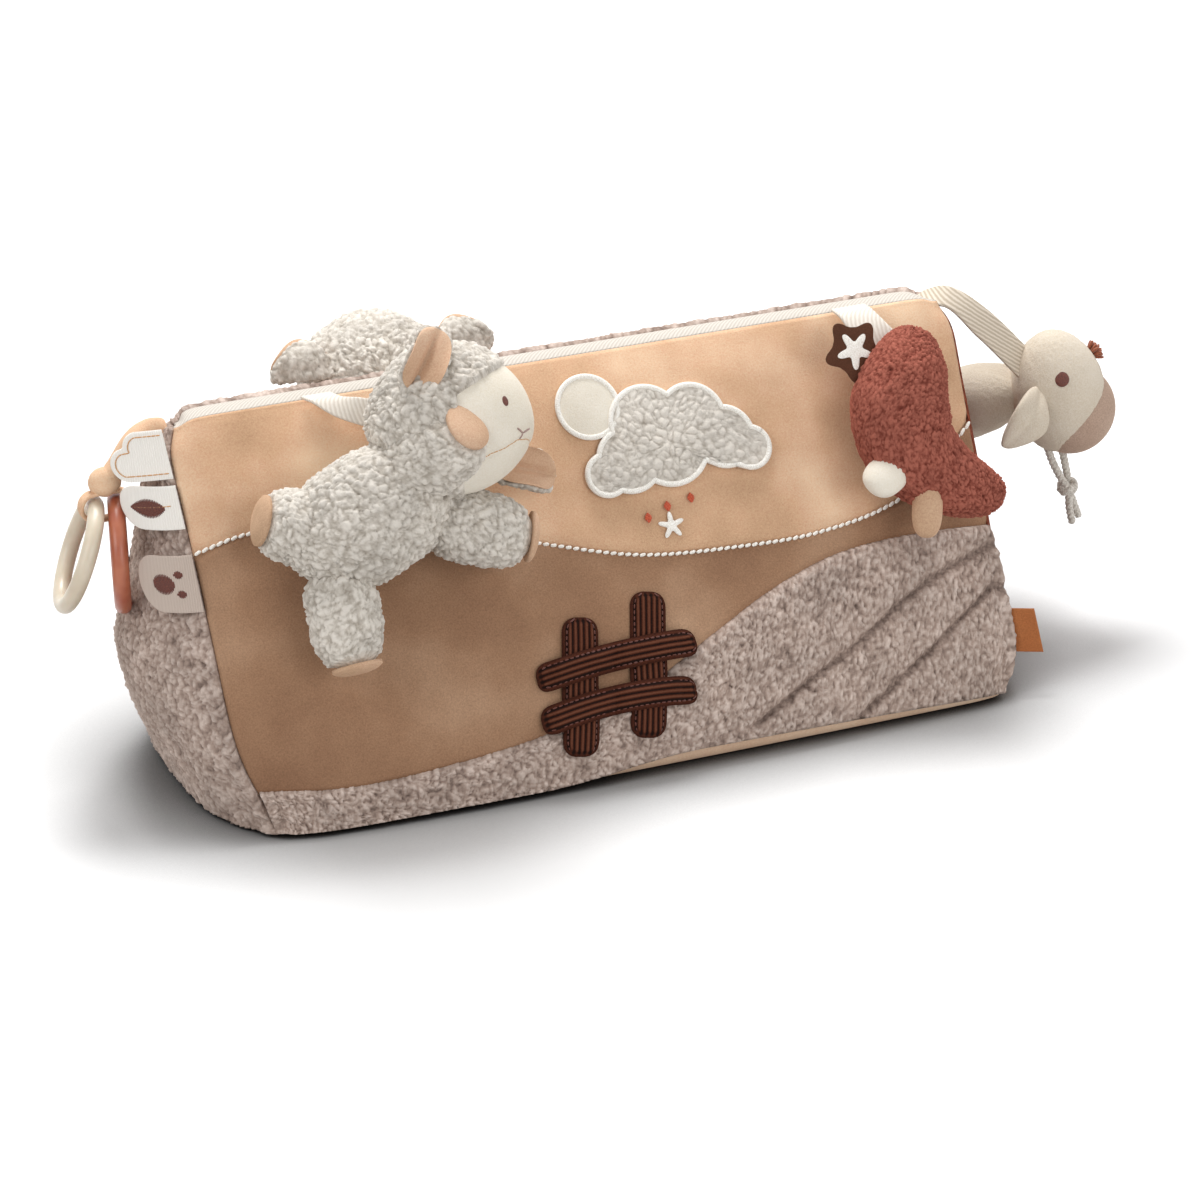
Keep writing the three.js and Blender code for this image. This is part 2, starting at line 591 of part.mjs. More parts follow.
function lamb(slope, x, rest, label, pose) {
  const toy = new THREE.Group();
  toy.position.set(x, 0, rest);
  slope.add(toy);
  const along = V(1, 0, 0);
  const bodyOf = (grow) => stuffed(pose.body, pose.bodyAcross, { sides: 12, steps: 9, grow });
  const [hx, hy, hz] = pose.head;
  const facing = V(...pose.facing).normalize();
  const headOf = (shrink, grow) => {
    const length = LAMB_HEAD[0] - shrink;
    const from = V(hx, hy, hz).addScaledVector(facing, -length);
    const to = V(hx, hy, hz).addScaledVector(facing, length);
    const size = [LAMB_HEAD[1] - shrink, LAMB_HEAD[2] - shrink];
    const stations = [from, V(hx, hy, hz), to].map((p) => [...p.toArray(), ...size]);
    return stuffed(stations, pose.headAcross, { sides: 12, steps: 10, grow });
  };
  const edge = V(hx, hy, hz).addScaledVector(facing, pose.faceStart);
  const half = facing.clone().multiplyScalar(SEWN_GAP / 2);
  const backOfHead = edge.clone().add(half);
  const frontOfHead = edge.clone().sub(half);
  const name = (part) => `${label}_${part}`;
  addPart(toy, name('body'), bodyOf(0), WOOL);
  addPart(toy, name('head'), cut(headOf(0, 0), [bodyOf(SEWN_GAP), halfSpace(frontOfHead, facing)]), WOOL);
  const behind = facing.clone().negate();
  addPart(toy, name('face'), cut(headOf(FACE_STEP, 0), [bodyOf(SEWN_GAP), halfSpace(backOfHead, behind)]), 0xede5cf);
  const limbs = Object.entries(pose.limbs);
  limbs.forEach(([limb, { from, to, across = along }], i) => {
    const middle = from.map((value, k) => lerp(value, to[k], 0.5));
    const shape = (grow) => {
      const stations = [[...from, LAMB_LIMB, LAMB_LIMB * 0.85], [...middle, LAMB_LIMB, LAMB_LIMB * 0.9]];
      stations.push([...to, LAMB_LIMB * 0.92, LAMB_LIMB * 0.85]);
      return stuffed(stations, V(...(across.toArray?.() ?? across)), { sides: 10, steps: 7, roundness: 3, grow });
    };
    limbs[i].shape = shape;
    const larger = [bodyOf(SEWN_GAP), headOf(0, SEWN_GAP)];
    const earlier = limbs.slice(0, i).map((other) => other.shape(SEWN_GAP));
    addPart(toy, name(limb), cut(shape(0), larger.concat(earlier)), WOOL);
  });
  Object.entries(pose.ears).forEach(([ear, { from, to, across, half: wide, step = 0 }]) => {
    const middle = from.map((value, k) => lerp(value, to[k], 0.5));
    const stations = [[...from, wide * 0.7, 5], [...middle, wide, 6], [...to, wide * 0.8, 5]];
    const shape = stuffed(stations, V(...across), { sides: 10, steps: 7, roundness: 2.6 });
    const larger = [headOf(step, SEWN_GAP), bodyOf(SEWN_GAP), ...limbs.map((limb) => limb.shape(SEWN_GAP))];
    addPart(toy, name(ear), cut(shape, larger), 0xc9a27c);
  });
}

const LAMB_REST = restHeight('front', [LAMB_X - 60, LAMB_X + 115], 165);
lamb(frontSlope, LAMB_X, LAMB_REST, 'lamb', {
  body: [[-40, -84, 23, 32, 24], [-8, -73, 26, 33, 26], [24, -61, 27, 31, 25], [48, -50, 28, 24, 20]],
  bodyAcross: V(-0.36, 0.93, 0),
  head: [54, -29, 34],
  facing: [0.95, -0.1, 0.3],
  headAcross: V(0, 1, 0),
  faceStart: 2,
  limbs: {
    hind_leg_near: { from: [-18, -74, 24], to: [-52, -62, 22], across: [0, 1, 0] },
    hind_leg_far: { from: [-18, -92, 24], to: [-16, -144, 20] },
    fore_leg_far: { from: [36, -76, 24], to: [89, -94, 20], across: [0, 1, 0] },
    fore_leg_near: { from: [18, -54, 34], to: [57, -36, 62], across: [0, 1, 0] },
  },
  ears: {
    ear_near: { from: [35, -12, 44], to: [60, 14, 52], across: [0.75, -0.65, 0], half: 13 },
    ear_far: { from: [74, -52, 22], to: [112, -64, 12], across: [0.1, 1, 0], half: 14, step: FACE_STEP },
  },
});

const BACK_LAMB_REST = restHeight('back', [-BACK_LAMB_X - 70, -BACK_LAMB_X + 70], 214, PILE);
lamb(backSlope, -BACK_LAMB_X, BACK_LAMB_REST, 'back_lamb', {
  body: [[0, -160, 23, 32, 23], [0, -134, 26, 33, 26], [0, -108, 27, 31, 25], [0, -86, 28, 24, 20]],
  bodyAcross: V(1, 0, 0),
  head: [0, -60, 40.5],
  facing: [0, -0.8, 1],
  headAcross: V(1, 0, 0),
  faceStart: 4,
  limbs: {
    hind_leg_left: { from: [-12, -148, 22], to: [-28, -196, 19] },
    hind_leg_right: { from: [12, -148, 22], to: [28, -196, 19] },
    fore_leg_left: { from: [-18, -112, 24], to: [-64, -122, 20], across: [0, 1, 0] },
    fore_leg_right: { from: [18, -112, 24], to: [64, -122, 20], across: [0, 1, 0] },
  },
  ears: {
    ear_left: { from: [-30, -38, 30], to: [-62, -36, 30], across: [0, 1, 0], half: 13 },
    ear_right: { from: [30, -38, 30], to: [62, -36, 30], across: [0, 1, 0], half: 13 },
  },
});

// Tapes of the slope toys: sewn at the ridge seam, they pass under the toy's neck.
// under is the place below the toy, and underside the height of the toy there.
function slopeTape(slope, name, { x, rest, under, underside, width, pile = 0 }) {
  const root = TAPE_THICKNESS / 2 + SEWN_GAP + 0.3 * pile;
  const rise = rest + underside - TAPE_CLEARANCE - TAPE_THICKNESS / 2;
  const flat = V(-under[1], under[0], 0).normalize().toArray();
  const place = ([right, down, up], wide) => ({
    at: [x + under[0] * right, under[1] * down - 0.3, lerp(root, rise, up)], wide,
  });
  const stations = [
    place([0, 0, 0], [1, 0, 0]),
    place([0.05, 0.13, 0.47], [1, 0, 0]),
    place([0.28, 0.42, 0.8], [0.8 + flat[0] * 0.2, flat[1] * 0.6, 0]),
    place([0.75, 0.8, 1], flat),
    place([1, 1, 1], flat),
  ];
  addPart(slope, name, tape(stations, width), CREAM);
}

slopeTape(frontSlope, 'lamb_tape', {
  x: LAMB_X, rest: LAMB_REST, under: [46, -24], underside: 2, width: LAMB_TAPE_WIDTH,
});
slopeTape(backSlope, 'back_lamb_tape', {
  x: -BACK_LAMB_X, rest: BACK_LAMB_REST, under: [0, -52], underside: 2.1, width: LAMB_TAPE_WIDTH,
  pile: PILE,
});
const BIRD_REST = restHeight('front', [BIRD_X - 25, BIRD_X + 62], 140);
slopeTape(frontSlope, 'bird_tape', {
  x: BIRD_X, rest: BIRD_REST, under: [15, -33], underside: 5.9, width: BIRD_TAPE_WIDTH,
});

// Bird: a crescent body in terry cloth with two round feet and a star label in its seam
const bird = new THREE.Group();
bird.position.set(BIRD_X, 0, BIRD_REST);
frontSlope.add(bird);
const TERRY = 0x8e4f42;
const BIRD_LINE = [
  [21, -20, 22, 17, 15], [13, -38, 22, 24, 19], [3, -60, 22, 28, 21], [5, -80, 22, 27, 20],
  [20, -98, 21, 21, 17], [40, -109, 19, 13, 11], [60, -109, 17, 7, 6],
];
const birdBody = (grow) => stuffed(BIRD_LINE, V(-0.6, -0.8, 0), { sides: 12, steps: 13, roundness: 3.2, grow });
addPart(bird, 'bird_body', birdBody(0), TERRY);
const FOOT = { sides: 10, steps: 6, roundness: 2.8 };
const foot = (from, to, grow = 0) => stuffed([[...from, 11, 9], [...to, 11.5, 9]], V(1, 0.2, 0), { ...FOOT, grow });
const LEFT_FOOT = [[2, -86, 26], [-24, -101, 30]];
const RIGHT_FOOT = [[12, -98, 26], [3, -131, 28]];
addPart(bird, 'bird_foot_left', cut(foot(...LEFT_FOOT), [birdBody(SEWN_GAP)]), 0xefe6d6);
const beside = [birdBody(SEWN_GAP), foot(...LEFT_FOOT, SEWN_GAP)];
addPart(bird, 'bird_foot_right', cut(foot(...RIGHT_FOOT), beside), 0xc9a47e);

const starLabel = new THREE.Shape(Array.from({ length: 40 }, (_, i) => {
  const angle = 2 * Math.PI * i / 40;
  const reach = starOutline(17, 10.5)(angle);
  return new THREE.Vector2(reach * Math.cos(angle), reach * Math.sin(angle));
}));
const label = new THREE.ExtrudeGeometry(starLabel, { depth: LABEL_THICKNESS, bevelEnabled: false });
label.rotateZ(0.5);
label.translate(-14, -26, 20);
addPart(bird, 'bird_star_label', cut(label, [birdBody(SEWN_GAP)]), 0x5f3c2c);

// Cow: hangs by a twill tape from the right end of the ridge
const cow = new THREE.Group();
cow.position.set(LENGTH / 2, 0, HEIGHT);
assembly.add(cow);
const COW = 0xdccfbd;
const COW_MIDDLE = V(64, -9, -69);
const COW_HEAD = [[59, -9, -34, 24, 21], [...COW_MIDDLE.toArray(), 27, 24], [67, -9, -104, 24, 22]];
const cowHead = (grow) => stuffed(COW_HEAD, V(1, 0, 0), { sides: 14, steps: 11, grow });
const MUZZLE_FACING = V(0.72, 0, -0.7).normalize();
const MUZZLE_START = 20;
const muzzleSeam = COW_MIDDLE.clone().addScaledVector(MUZZLE_FACING, MUZZLE_START);
const seamSide = (step) => muzzleSeam.clone().addScaledVector(MUZZLE_FACING, step * SEWN_GAP / 2);
addPart(cow, 'cow_head', cut(cowHead(0), [halfSpace(seamSide(-1), MUZZLE_FACING)]), COW);
const nose = V(74, -9, -82);
const muzzleEnd = (step) => nose.clone().addScaledVector(MUZZLE_FACING, 24 * step).toArray();
const muzzleLine = [[...muzzleEnd(-1), 25, 22], [...nose.toArray(), 25, 22], [...muzzleEnd(1), 25, 22]];
const muzzle = (grow) => stuffed(muzzleLine, V(0.7, 0, 0.72), { sides: 12, steps: 9, grow });
const behindNose = MUZZLE_FACING.clone().negate();
addPart(cow, 'cow_muzzle', cut(muzzle(0), [halfSpace(seamSide(1), behindNose)]), 0xb59a88);
const COW_BODY = [[50, -8, -68, 14, 14], [33, 12, -74, 20, 19], [32, 42, -88, 21, 20], [34, 72, -104, 15, 15]];
const cowBody = (grow) => stuffed(COW_BODY, V(1, 0, 0), { sides: 12, steps: 10, roundness: 2.6, grow });
addPart(cow, 'cow_body', cut(cowBody(0), [cowHead(SEWN_GAP)]), COW);
const COW_EARS = {
  cow_ear_near: [[46, -24, -60, 8, 4], [34, -35, -72, 12, 4.5], [19, -35, -86, 7, 4]],
  cow_ear_far: [[52, 6, -60, 8, 4], [42, 20, -58, 11, 4.5], [30, 36, -60, 7, 4]],
};
Object.entries(COW_EARS).forEach(([name, stations]) => {
  const ear = stuffed(stations, V(0.7, 0, -0.7), { sides: 10, steps: 8, roundness: 2.4 });
  addPart(cow, name, cut(ear, [cowHead(SEWN_GAP), cowBody(SEWN_GAP)]), COW);
});
const cowTape = tape([
  { at: [1.4, 0, 0.4], wide: [0, 1, 0] },
  { at: [10, -2, -9], wide: [0.3, 0.8, 0.4] },
  { at: [24, -5, -26], wide: [0.6, 0.45, 0.65] },
  { at: [46, -9, -52], wide: [0.72, 0.42, 0.56] },
], COW_TAPE_WIDTH);
addPart(cow, 'cow_tape', cut(cowTape, [cowHead(TAPE_CLEARANCE)]), CREAM);

// Rope beard: two strands from under the head, tied in one knot with a frayed end
function rope(points, radius, steps) {
  const path = new THREE.CatmullRomCurve3(points.map(([x, y, z]) => V(x, y, z)));
  const section = new THREE.Shape();
  section.absarc(0, 0, radius, 0, 2 * Math.PI);
  return new THREE.ExtrudeGeometry(section, { steps, extrudePath: path, curveSegments: 8, bevelEnabled: false });
}
const ROPE_RADIUS = 2.2;
const STRANDS = {
  cow_rope_left: [[56, -10, -96], [60, -10, -108], [66.5, -10, -120.5]],
  cow_rope_right: [[66, -8, -98], [68, -8.5, -109], [71, -9.5, -120]],
};
const knotAt = [70, -10, -126, 5.5, 5];
const knot = (grow) => stuffed([[69, -10, -119, 5, 5], knotAt, [73, -10, -134, 4, 3.5], [75, -10, -146, 6, 5]], V(1, 0, 0), {
  sides: 10, steps: 8, roundness: 3.2, grow,
});
addPart(cow, 'cow_rope_knot', knot(0), 0xb9b2a9);
Object.entries(STRANDS).forEach(([name, points]) => {
  const tools = [cowHead(SEWN_GAP), muzzle(SEWN_GAP), knot(SEWN_GAP)];
  addPart(cow, name, cut(rope(points, ROPE_RADIUS, 6), tools), 0xb9b2a9);
});

// Ring loop: a velour band round both rings, its knot and its neck up to the ridge's left end
const rings = new THREE.Group();
rings.position.set(-LENGTH / 2, 0, HEIGHT);
assembly.add(rings);
const RING_RADIUS = (RING_OUTER_DIAMETER - RING_THICKNESS) / 2;
const RING_CLEARANCE = 1.6;
const BAND_THICKNESS = 2.4;
const BAND_WIDTH = 7.5;
const HOLD = V(-27.5, 3, -46);
const RING_SPACING = RING_THICKNESS + 2;

function ring(name, offset, normal, colour) {
  const down = V(0, 0, -1).addScaledVector(normal, normal.z).normalize();
  const mesh = addPart(rings, name, new THREE.TorusGeometry(RING_RADIUS, RING_THICKNESS / 2, 10, 32), colour, 0.35);
  mesh.quaternion.setFromUnitVectors(V(0, 0, 1), normal);
  mesh.position.copy(HOLD).add(V(offset, 0, 0)).addScaledVector(down, RING_RADIUS);
}
ring('ring_ivory', -RING_SPACING / 2, V(-0.9, 0.183, 0.38).normalize(), 0xd3c6b1);
ring('ring_terracotta', RING_SPACING / 2, V(-0.963, 0.269, 0).normalize(), 0xa85f43);

function bandOutline(grow) {
  const radius = RING_THICKNESS / 2 + RING_CLEARANCE + grow;
  const straight = RING_SPACING / 2 + 0.6;
  const shape = new THREE.Shape();
  shape.absarc(straight, 0, radius, -Math.PI / 2, Math.PI / 2);
  shape.absarc(-straight, 0, radius, Math.PI / 2, 3 * Math.PI / 2);
  shape.closePath();
  return shape;
}

function band() {
  const shape = bandOutline(BAND_THICKNESS);
  shape.holes.push(new THREE.Path(bandOutline(0).getPoints(8)));
  const geometry = new THREE.ExtrudeGeometry(shape, { depth: BAND_WIDTH, curveSegments: 8, bevelEnabled: false });
  geometry.translate(0, 0, -BAND_WIDTH / 2);
  geometry.rotateX(Math.PI / 2);
  geometry.translate(HOLD.x, HOLD.y, HOLD.z);
  return geometry;
}

const bandTop = HOLD.z + RING_THICKNESS / 2 + RING_CLEARANCE + BAND_THICKNESS;
const loopKnot = stuffed([
  [HOLD.x - 8, HOLD.y, bandTop + 2, 6, 6],
  [HOLD.x, HOLD.y, bandTop + 4, 8, 7],
  [HOLD.x + 9, HOLD.y, bandTop + 4, 6, 6],
], V(0, 0, 1), { sides: 10, steps: 7, roundness: 2.6 });
const loopNeck = stuffed([
  [-3.6, 1.2, 0.4, LOOP_THICKNESS * 0.45, LOOP_THICKNESS * 0.7],
  [-12, HOLD.y, -6, LOOP_THICKNESS / 2, LOOP_THICKNESS * 0.75],
  [HOLD.x + 5, HOLD.y, -24, LOOP_THICKNESS / 2, LOOP_THICKNESS * 0.75],
  [HOLD.x + 1, HOLD.y, bandTop + 5, 5, 6],
], V(1, 0, 0), { sides: 10, steps: 9, roundness: 6 });
addPart(rings, 'ring_loop', join([band(), loopKnot, loopNeck]), 0xc8a47e);

// Labels in the front's left seam, bent back over the fleece, and a blank tab in its right seam
function seamLabel(name, { side, height, half, reach, out, colour, start = LABEL_ROOT }) {
  const v = frontV(height);
  const root = facePoint('front', side, v, 0);
  const up = facePoint('front', side, v + 0.01, 0).sub(root).normalize();
  const turnAt = (a) => lerp(out[0], out[1], a / 34);
  const place = (a, w) => {
    const p = root.clone().addScaledVector(up, w * half);
    const steps = 8;
    for (let i = 0; i < steps; i += 1) {
      const turn = turnAt(a * (i + 0.5) / steps);
      p.add(V(Math.cos(turn), Math.sin(turn), 0).multiplyScalar(a / steps));
    }
    return p;
  };
  const grid = (face) => even(7).map((f) => even(10).map((k) => {
    const w = 2 * k - 1;
    const a = start + f * (reach(w) - start);
    const turn = turnAt(a);
    return place(a, w).add(V(-Math.sin(turn), Math.cos(turn), 0).multiplyScalar(face * LABEL_THICKNESS / 2));
  }));
  addPart(assembly, name, closedSheet(grid(-1), grid(1)), colour);
}
const LABEL_ROOT = 1.9;
const roundEnd = (reach) => (w) => reach * (0.62 + 0.38 * Math.sqrt(Math.max(0, 1 - w * w)));
const cloudEnd = (w) => 21 + 9 * Math.abs(Math.sin(1.5 * Math.PI * (w * 0.92 + 1) / 2 + 0.3));
const BENT_BACK = [Math.PI - 0.15, Math.PI - 1.15];
const BENT_LESS = [Math.PI - 0.15, Math.PI - 0.35];
const LABELS = [
  { name: 'label_cloud', height: 209, half: 13, reach: cloudEnd, out: BENT_LESS, colour: 0xf6f3ee },
  { name: 'label_leaf', height: 181, half: 11.5, reach: roundEnd(33), out: BENT_BACK, colour: 0xf3efe9 },
  { name: 'label_round', height: 141, half: 15, reach: roundEnd(32), out: BENT_BACK, colour: 0xcbbbae },
];
LABELS.forEach(({ name, ...size }) => seamLabel(name, { side: 0, ...size }));
seamLabel('side_tab', {
  side: 1, height: 39, half: 12, reach: () => 13, out: [-0.5, -0.5], colour: 0xa8663c, start: 0.9,
});

export default assembly;
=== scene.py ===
# %% [markdown]
# # Baby activity triangle
# A stuffed cushion with three long sides stands on the floor. Plush toys, rings and cloth
# labels hang from the seams along its ridge and its ends. Every surface here is a formula
# worked out with numpy, in the same frame as the solid model: metres, with +Z up.

# %% Frame and tools
import math

import bpy
import numpy as np
from mathutils import Matrix, Vector


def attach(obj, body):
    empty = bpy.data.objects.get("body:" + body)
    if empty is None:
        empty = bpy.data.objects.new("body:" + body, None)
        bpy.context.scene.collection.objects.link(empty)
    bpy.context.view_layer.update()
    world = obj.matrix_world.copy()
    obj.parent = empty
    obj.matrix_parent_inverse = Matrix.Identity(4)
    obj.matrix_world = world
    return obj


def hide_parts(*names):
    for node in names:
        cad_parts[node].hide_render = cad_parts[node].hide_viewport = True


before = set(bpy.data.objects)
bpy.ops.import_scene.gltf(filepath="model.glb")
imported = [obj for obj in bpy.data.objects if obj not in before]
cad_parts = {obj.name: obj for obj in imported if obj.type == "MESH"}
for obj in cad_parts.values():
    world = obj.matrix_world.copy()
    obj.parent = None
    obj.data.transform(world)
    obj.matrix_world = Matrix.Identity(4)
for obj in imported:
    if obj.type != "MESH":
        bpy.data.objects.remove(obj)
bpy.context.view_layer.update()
MM = 0.001

# %% [markdown]
# ## Camera
# The photo was taken with a long lens, a little above the toy and from its left. The camera
# is placed by that azimuth, elevation, distance and roll, so the same edges fall on the same
# places of a 1200 by 1200 picture.

# %% Camera
AZIMUTH = math.radians(-21.02)
ELEVATION = math.radians(22.03)
ROLL = math.radians(-2.16)
DISTANCE = 2.6886
AIM = np.array([0, 0, 0.1])
SHIFT_RIGHT = 0.0181
SHIFT_UP = -0.0355


def place_camera():
    """Looks along -back, where back is the unit vector of the azimuth and elevation."""
    flat = math.cos(ELEVATION)
    back = np.array([math.sin(AZIMUTH) * flat, -math.cos(AZIMUTH) * flat, math.sin(ELEVATION)])
    right = np.cross(-back, (0, 0, 1))
    right /= np.linalg.norm(right)
    up = np.cross(right, -back)
    across = right * math.cos(ROLL) + up * math.sin(ROLL)
    upward = up * math.cos(ROLL) - right * math.sin(ROLL)
    place = AIM + back * DISTANCE + across * SHIFT_RIGHT + upward * SHIFT_UP
    data = bpy.data.cameras.new("camera")
    data.lens = 150
    data.sensor_width = 36
    camera = bpy.data.objects.new("camera", data)
    axes = np.array([across, upward, back, place]).T
    camera.matrix_world = Matrix([*axes.tolist(), [0, 0, 0, 1]])
    bpy.context.scene.collection.objects.link(camera)
    bpy.context.scene.camera = camera
    return camera


camera = place_camera()
print("camera at", [round(v, 3) for v in camera.matrix_world.translation])

# %% [markdown]
# ## Nodes and colours
# Colours are written as sRGB hex and turned to the linear values that a shader works in. One
# small function adds a node with its settings and its inputs, plain values or other nodes'
# sockets. Constants are set on the socket itself, where an exported material keeps them.

# %% Node and colour helpers
def linear(code, alpha=1.0):
    """sRGB hex to linear: c / 12.92 for dark values, else ((c + 0.055) / 1.055) ** 2.4."""
    c = np.array([int(code[i:i + 2], 16) for i in (1, 3, 5)]) / 255
    c = np.where(c <= 0.04045, c / 12.92, ((c + 0.055) / 1.055) ** 2.4)
    return (*c, alpha)


def connect(node, inputs):
    """Gives inputs their values: a constant is set on the socket, another node's output linked."""
    for key, value in inputs.items():
        if isinstance(value, bpy.types.NodeSocket):
            node.id_data.links.new(value, node.inputs[key])
        else:
            node.inputs[key].default_value = value


def add(tree, kind, settings=None, inputs=None):
    """Adds a node. The setting "stops" lists a colour ramp's places and colours."""
    node = tree.nodes.new("ShaderNode" + kind)
    settings = dict(settings or {})
    stops = settings.pop("stops", ())
    for _ in stops[2:]:
        node.color_ramp.elements.new(0.5)
    for k, (place, code) in enumerate(stops):
        node.color_ramp.elements[k].position = place
        node.color_ramp.elements[k].color = linear(code)
    for key, value in settings.items():
        setattr(node, key, value)
    connect(node, inputs or {})
    return node


def start(name):
    """A new material's tree, its Principled shader and its Object coordinates."""
    material = bpy.data.materials.new(name)
    material.use_nodes = True
    tree = material.node_tree
    shader = tree.nodes["Principled BSDF"]
    place = add(tree, "TexCoord").outputs["Object"]
    return material, tree, shader, place


# %% [markdown]
# ## Floor
# The toy stands on pale matt paper. What the eye sees of it is lighter than the paper that
# lights the toy, turns white away from the toy, and darkens in a narrow shade where the toy
# touches it. That comes from Light Path and Ambient Occlusion, and adds no light.

# %% Floor
FLOOR, SEEN_FLOOR = "#C4C3C2", "#EBEBEB"
HALF_FLOOR = 6.0
CONTACT_REACH, CONTACT_POWER = 0.08, 1.5


def seen_ray(tree):
    """1 for rays that show the background to the eye: straight, in a gloss, or through glass."""
    ray = add(tree, "LightPath").outputs
    pair = {0: ray["Is Camera Ray"], 1: ray["Is Glossy Ray"]}
    seen = add(tree, "Math", {"operation": "MAXIMUM"}, pair).outputs[0]
    return add(tree, "Math", {"operation": "MAXIMUM"}, {0: seen, 1: ray["Is Transmission Ray"]}).outputs[0]


def make_floor():
    """Seen colour = ramp(distance from the toy) * occlusion^1.5."""
    mesh = bpy.data.meshes.new("floor")
    corners = [(x * HALF_FLOOR, y * HALF_FLOOR, 0) for x, y in ((-1, -1), (1, -1), (1, 1), (-1, 1))]
    mesh.from_pydata(corners, [], [(0, 1, 2, 3)])
    floor = bpy.data.objects.new("floor", mesh)
    bpy.context.scene.collection.objects.link(floor)
    material, tree, shader, place = start("pale_paper_floor")
    far = add(tree, "VectorMath", {"operation": "LENGTH"}, {0: place}).outputs["Value"]
    paper = add(tree, "ValToRGB", {"stops": [(0.4, SEEN_FLOOR), (1.0, "#FFFFFF")]}, {"Fac": far}).outputs[0]
    open_sky = add(tree, "AmbientOcclusion", {"samples": 8}, {"Distance": CONTACT_REACH}).outputs["AO"]
    contact = add(tree, "Math", {"operation": "POWER"}, {0: open_sky, 1: CONTACT_POWER}).outputs[0]
    multiply = {"data_type": "RGBA", "blend_type": "MULTIPLY"}
    shaded = add(tree, "Mix", multiply, {0: 1.0, 6: paper, 7: contact}).outputs[2]
    either = {0: seen_ray(tree), 6: linear(FLOOR), 7: shaded}
    connect(shader, {
        "Base Color": add(tree, "Mix", {"data_type": "RGBA"}, either).outputs[2],
        "Roughness": 0.9, "Specular IOR Level": 0.0,
    })
    mesh.materials.append(material)


make_floor()
print("floor", 2 * HALF_FLOOR, "m wide")

# %% [markdown]
# ## Light
# A large lamp stands high at the back right, so the shadow falls to the front left as in the
# photo. Three wide ones fill in from the left, the right and the front, and the sky is even.

# %% Lamps and sky
LAMPS = {
    "key": ((0.1, 0.78, 1.85), 1.0, 42),
    "left": ((-2.4, -0.9, 1.7), 1.6, 28),
    "right": ((2.4, -0.9, 1.2), 1.6, 14),
    "front": ((0.7, -3.0, 1.1), 1.8, 27),
}
SKY_LIGHT = 0.38


def make_lamp(name, place, size, power):
    """A square area lamp, size m wide, turned to shine on the toy."""
    data = bpy.data.lights.new(name, "AREA")
    data.size = size
    data.energy = power
    lamp = bpy.data.objects.new(name, data)
    lamp.location = place
    lamp.rotation_mode = "QUATERNION"
    lamp.rotation_quaternion = Vector((0, 0, 1)).rotation_difference(Vector(place) - Vector(AIM))
    bpy.context.scene.collection.objects.link(lamp)


def make_sky():
    """A white world: strength 1 where it is seen, and SKY_LIGHT where it lights the toy."""
    world = bpy.data.worlds.new("sky")
    world.use_nodes = True
    bpy.context.scene.world = world
    tree = world.node_tree
    lit = {"Value": seen_ray(tree), "To Min": SKY_LIGHT, "To Max": 1.0}
    strength = add(tree, "MapRange", inputs=lit).outputs["Result"]
    connect(tree.nodes["Background"], {"Color": (1, 1, 1, 1), "Strength": strength})


bpy.context.scene.view_settings.view_transform = "Standard"
for name, (place, size, power) in LAMPS.items():
    make_lamp(name, place, size, power)
make_sky()
print(len(LAMPS), "lamps,", sum(lamp[2] for lamp in LAMPS.values()), "W in all")

# %% [markdown]
# ## Surfaces from arrays
# A piece is a grid of points: a formula of two parameters, worked out for all points at once.
# Two grids, one outside and one inside, close into a thick sheet of cloth. Rings of points
# along a line, with a pole at each end, close into a stuffed form.

# %% Meshes from points
FINE = 1.0


def unit(v):
    """v divided by its length, along the last axis."""
    v = np.asarray(v, float)
    return v / np.maximum(np.linalg.norm(v, axis=-1, keepdims=True), 1e-12)


def new_mesh(name, points, quads, tris=(), tuft=None):
    """A smooth mesh from points in mm; tuft is a value from 0, deep in the pile, to 1 at its tips.
    Its faces turn outward: their sum of a . (b x c) / 6, which is the volume, is positive."""
    quads = np.asarray(quads, np.int32).reshape(-1, 4)
    tris = np.asarray(tris, np.int32).reshape(-1, 3)
    points = np.asarray(points, float)
    a, b, c = np.moveaxis(points[np.concatenate([quads[:, :3], quads[:, [0, 2, 3]], tris])], 1, 0)
    if np.sum(a * np.cross(b, c)) < 0:
        quads, tris = quads[:, ::-1], tris[:, ::-1]
    mesh = bpy.data.meshes.new(name)
    mesh.vertices.add(len(points))
    mesh.vertices.foreach_set("co", (points * MM).astype(np.float32).ravel())
    loops = np.concatenate([quads.ravel(), tris.ravel()])
    sizes = np.concatenate([np.full(len(quads), 4), np.full(len(tris), 3)]).astype(np.int32)
    mesh.loops.add(len(loops))
    mesh.loops.foreach_set("vertex_index", loops)
    mesh.polygons.add(len(sizes))
    mesh.polygons.foreach_set("loop_start", np.concatenate([[0], np.cumsum(sizes)[:-1]]).astype(np.int32))
    mesh.polygons.foreach_set("loop_total", sizes)
    mesh.polygons.foreach_set("use_smooth", np.ones(len(sizes), bool))
    mesh.update(calc_edges=True)
    if tuft is not None:
        layer = mesh.attributes.new("tuft", "FLOAT", "POINT")
        layer.data.foreach_set("value", np.asarray(tuft, np.float32).ravel())
    thing = bpy.data.objects.new(name, mesh)
    bpy.context.scene.collection.objects.link(thing)
    return thing


def dress(thing, material, body, slot, *nodes, fill=None):
    """Gives a piece its material, its moving body and the solids that it stands for; its finish, slot, is
    not used.
    """
    thing.data.materials.append(material)
    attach(thing, body)
    if nodes:
        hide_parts(*nodes)
    return thing


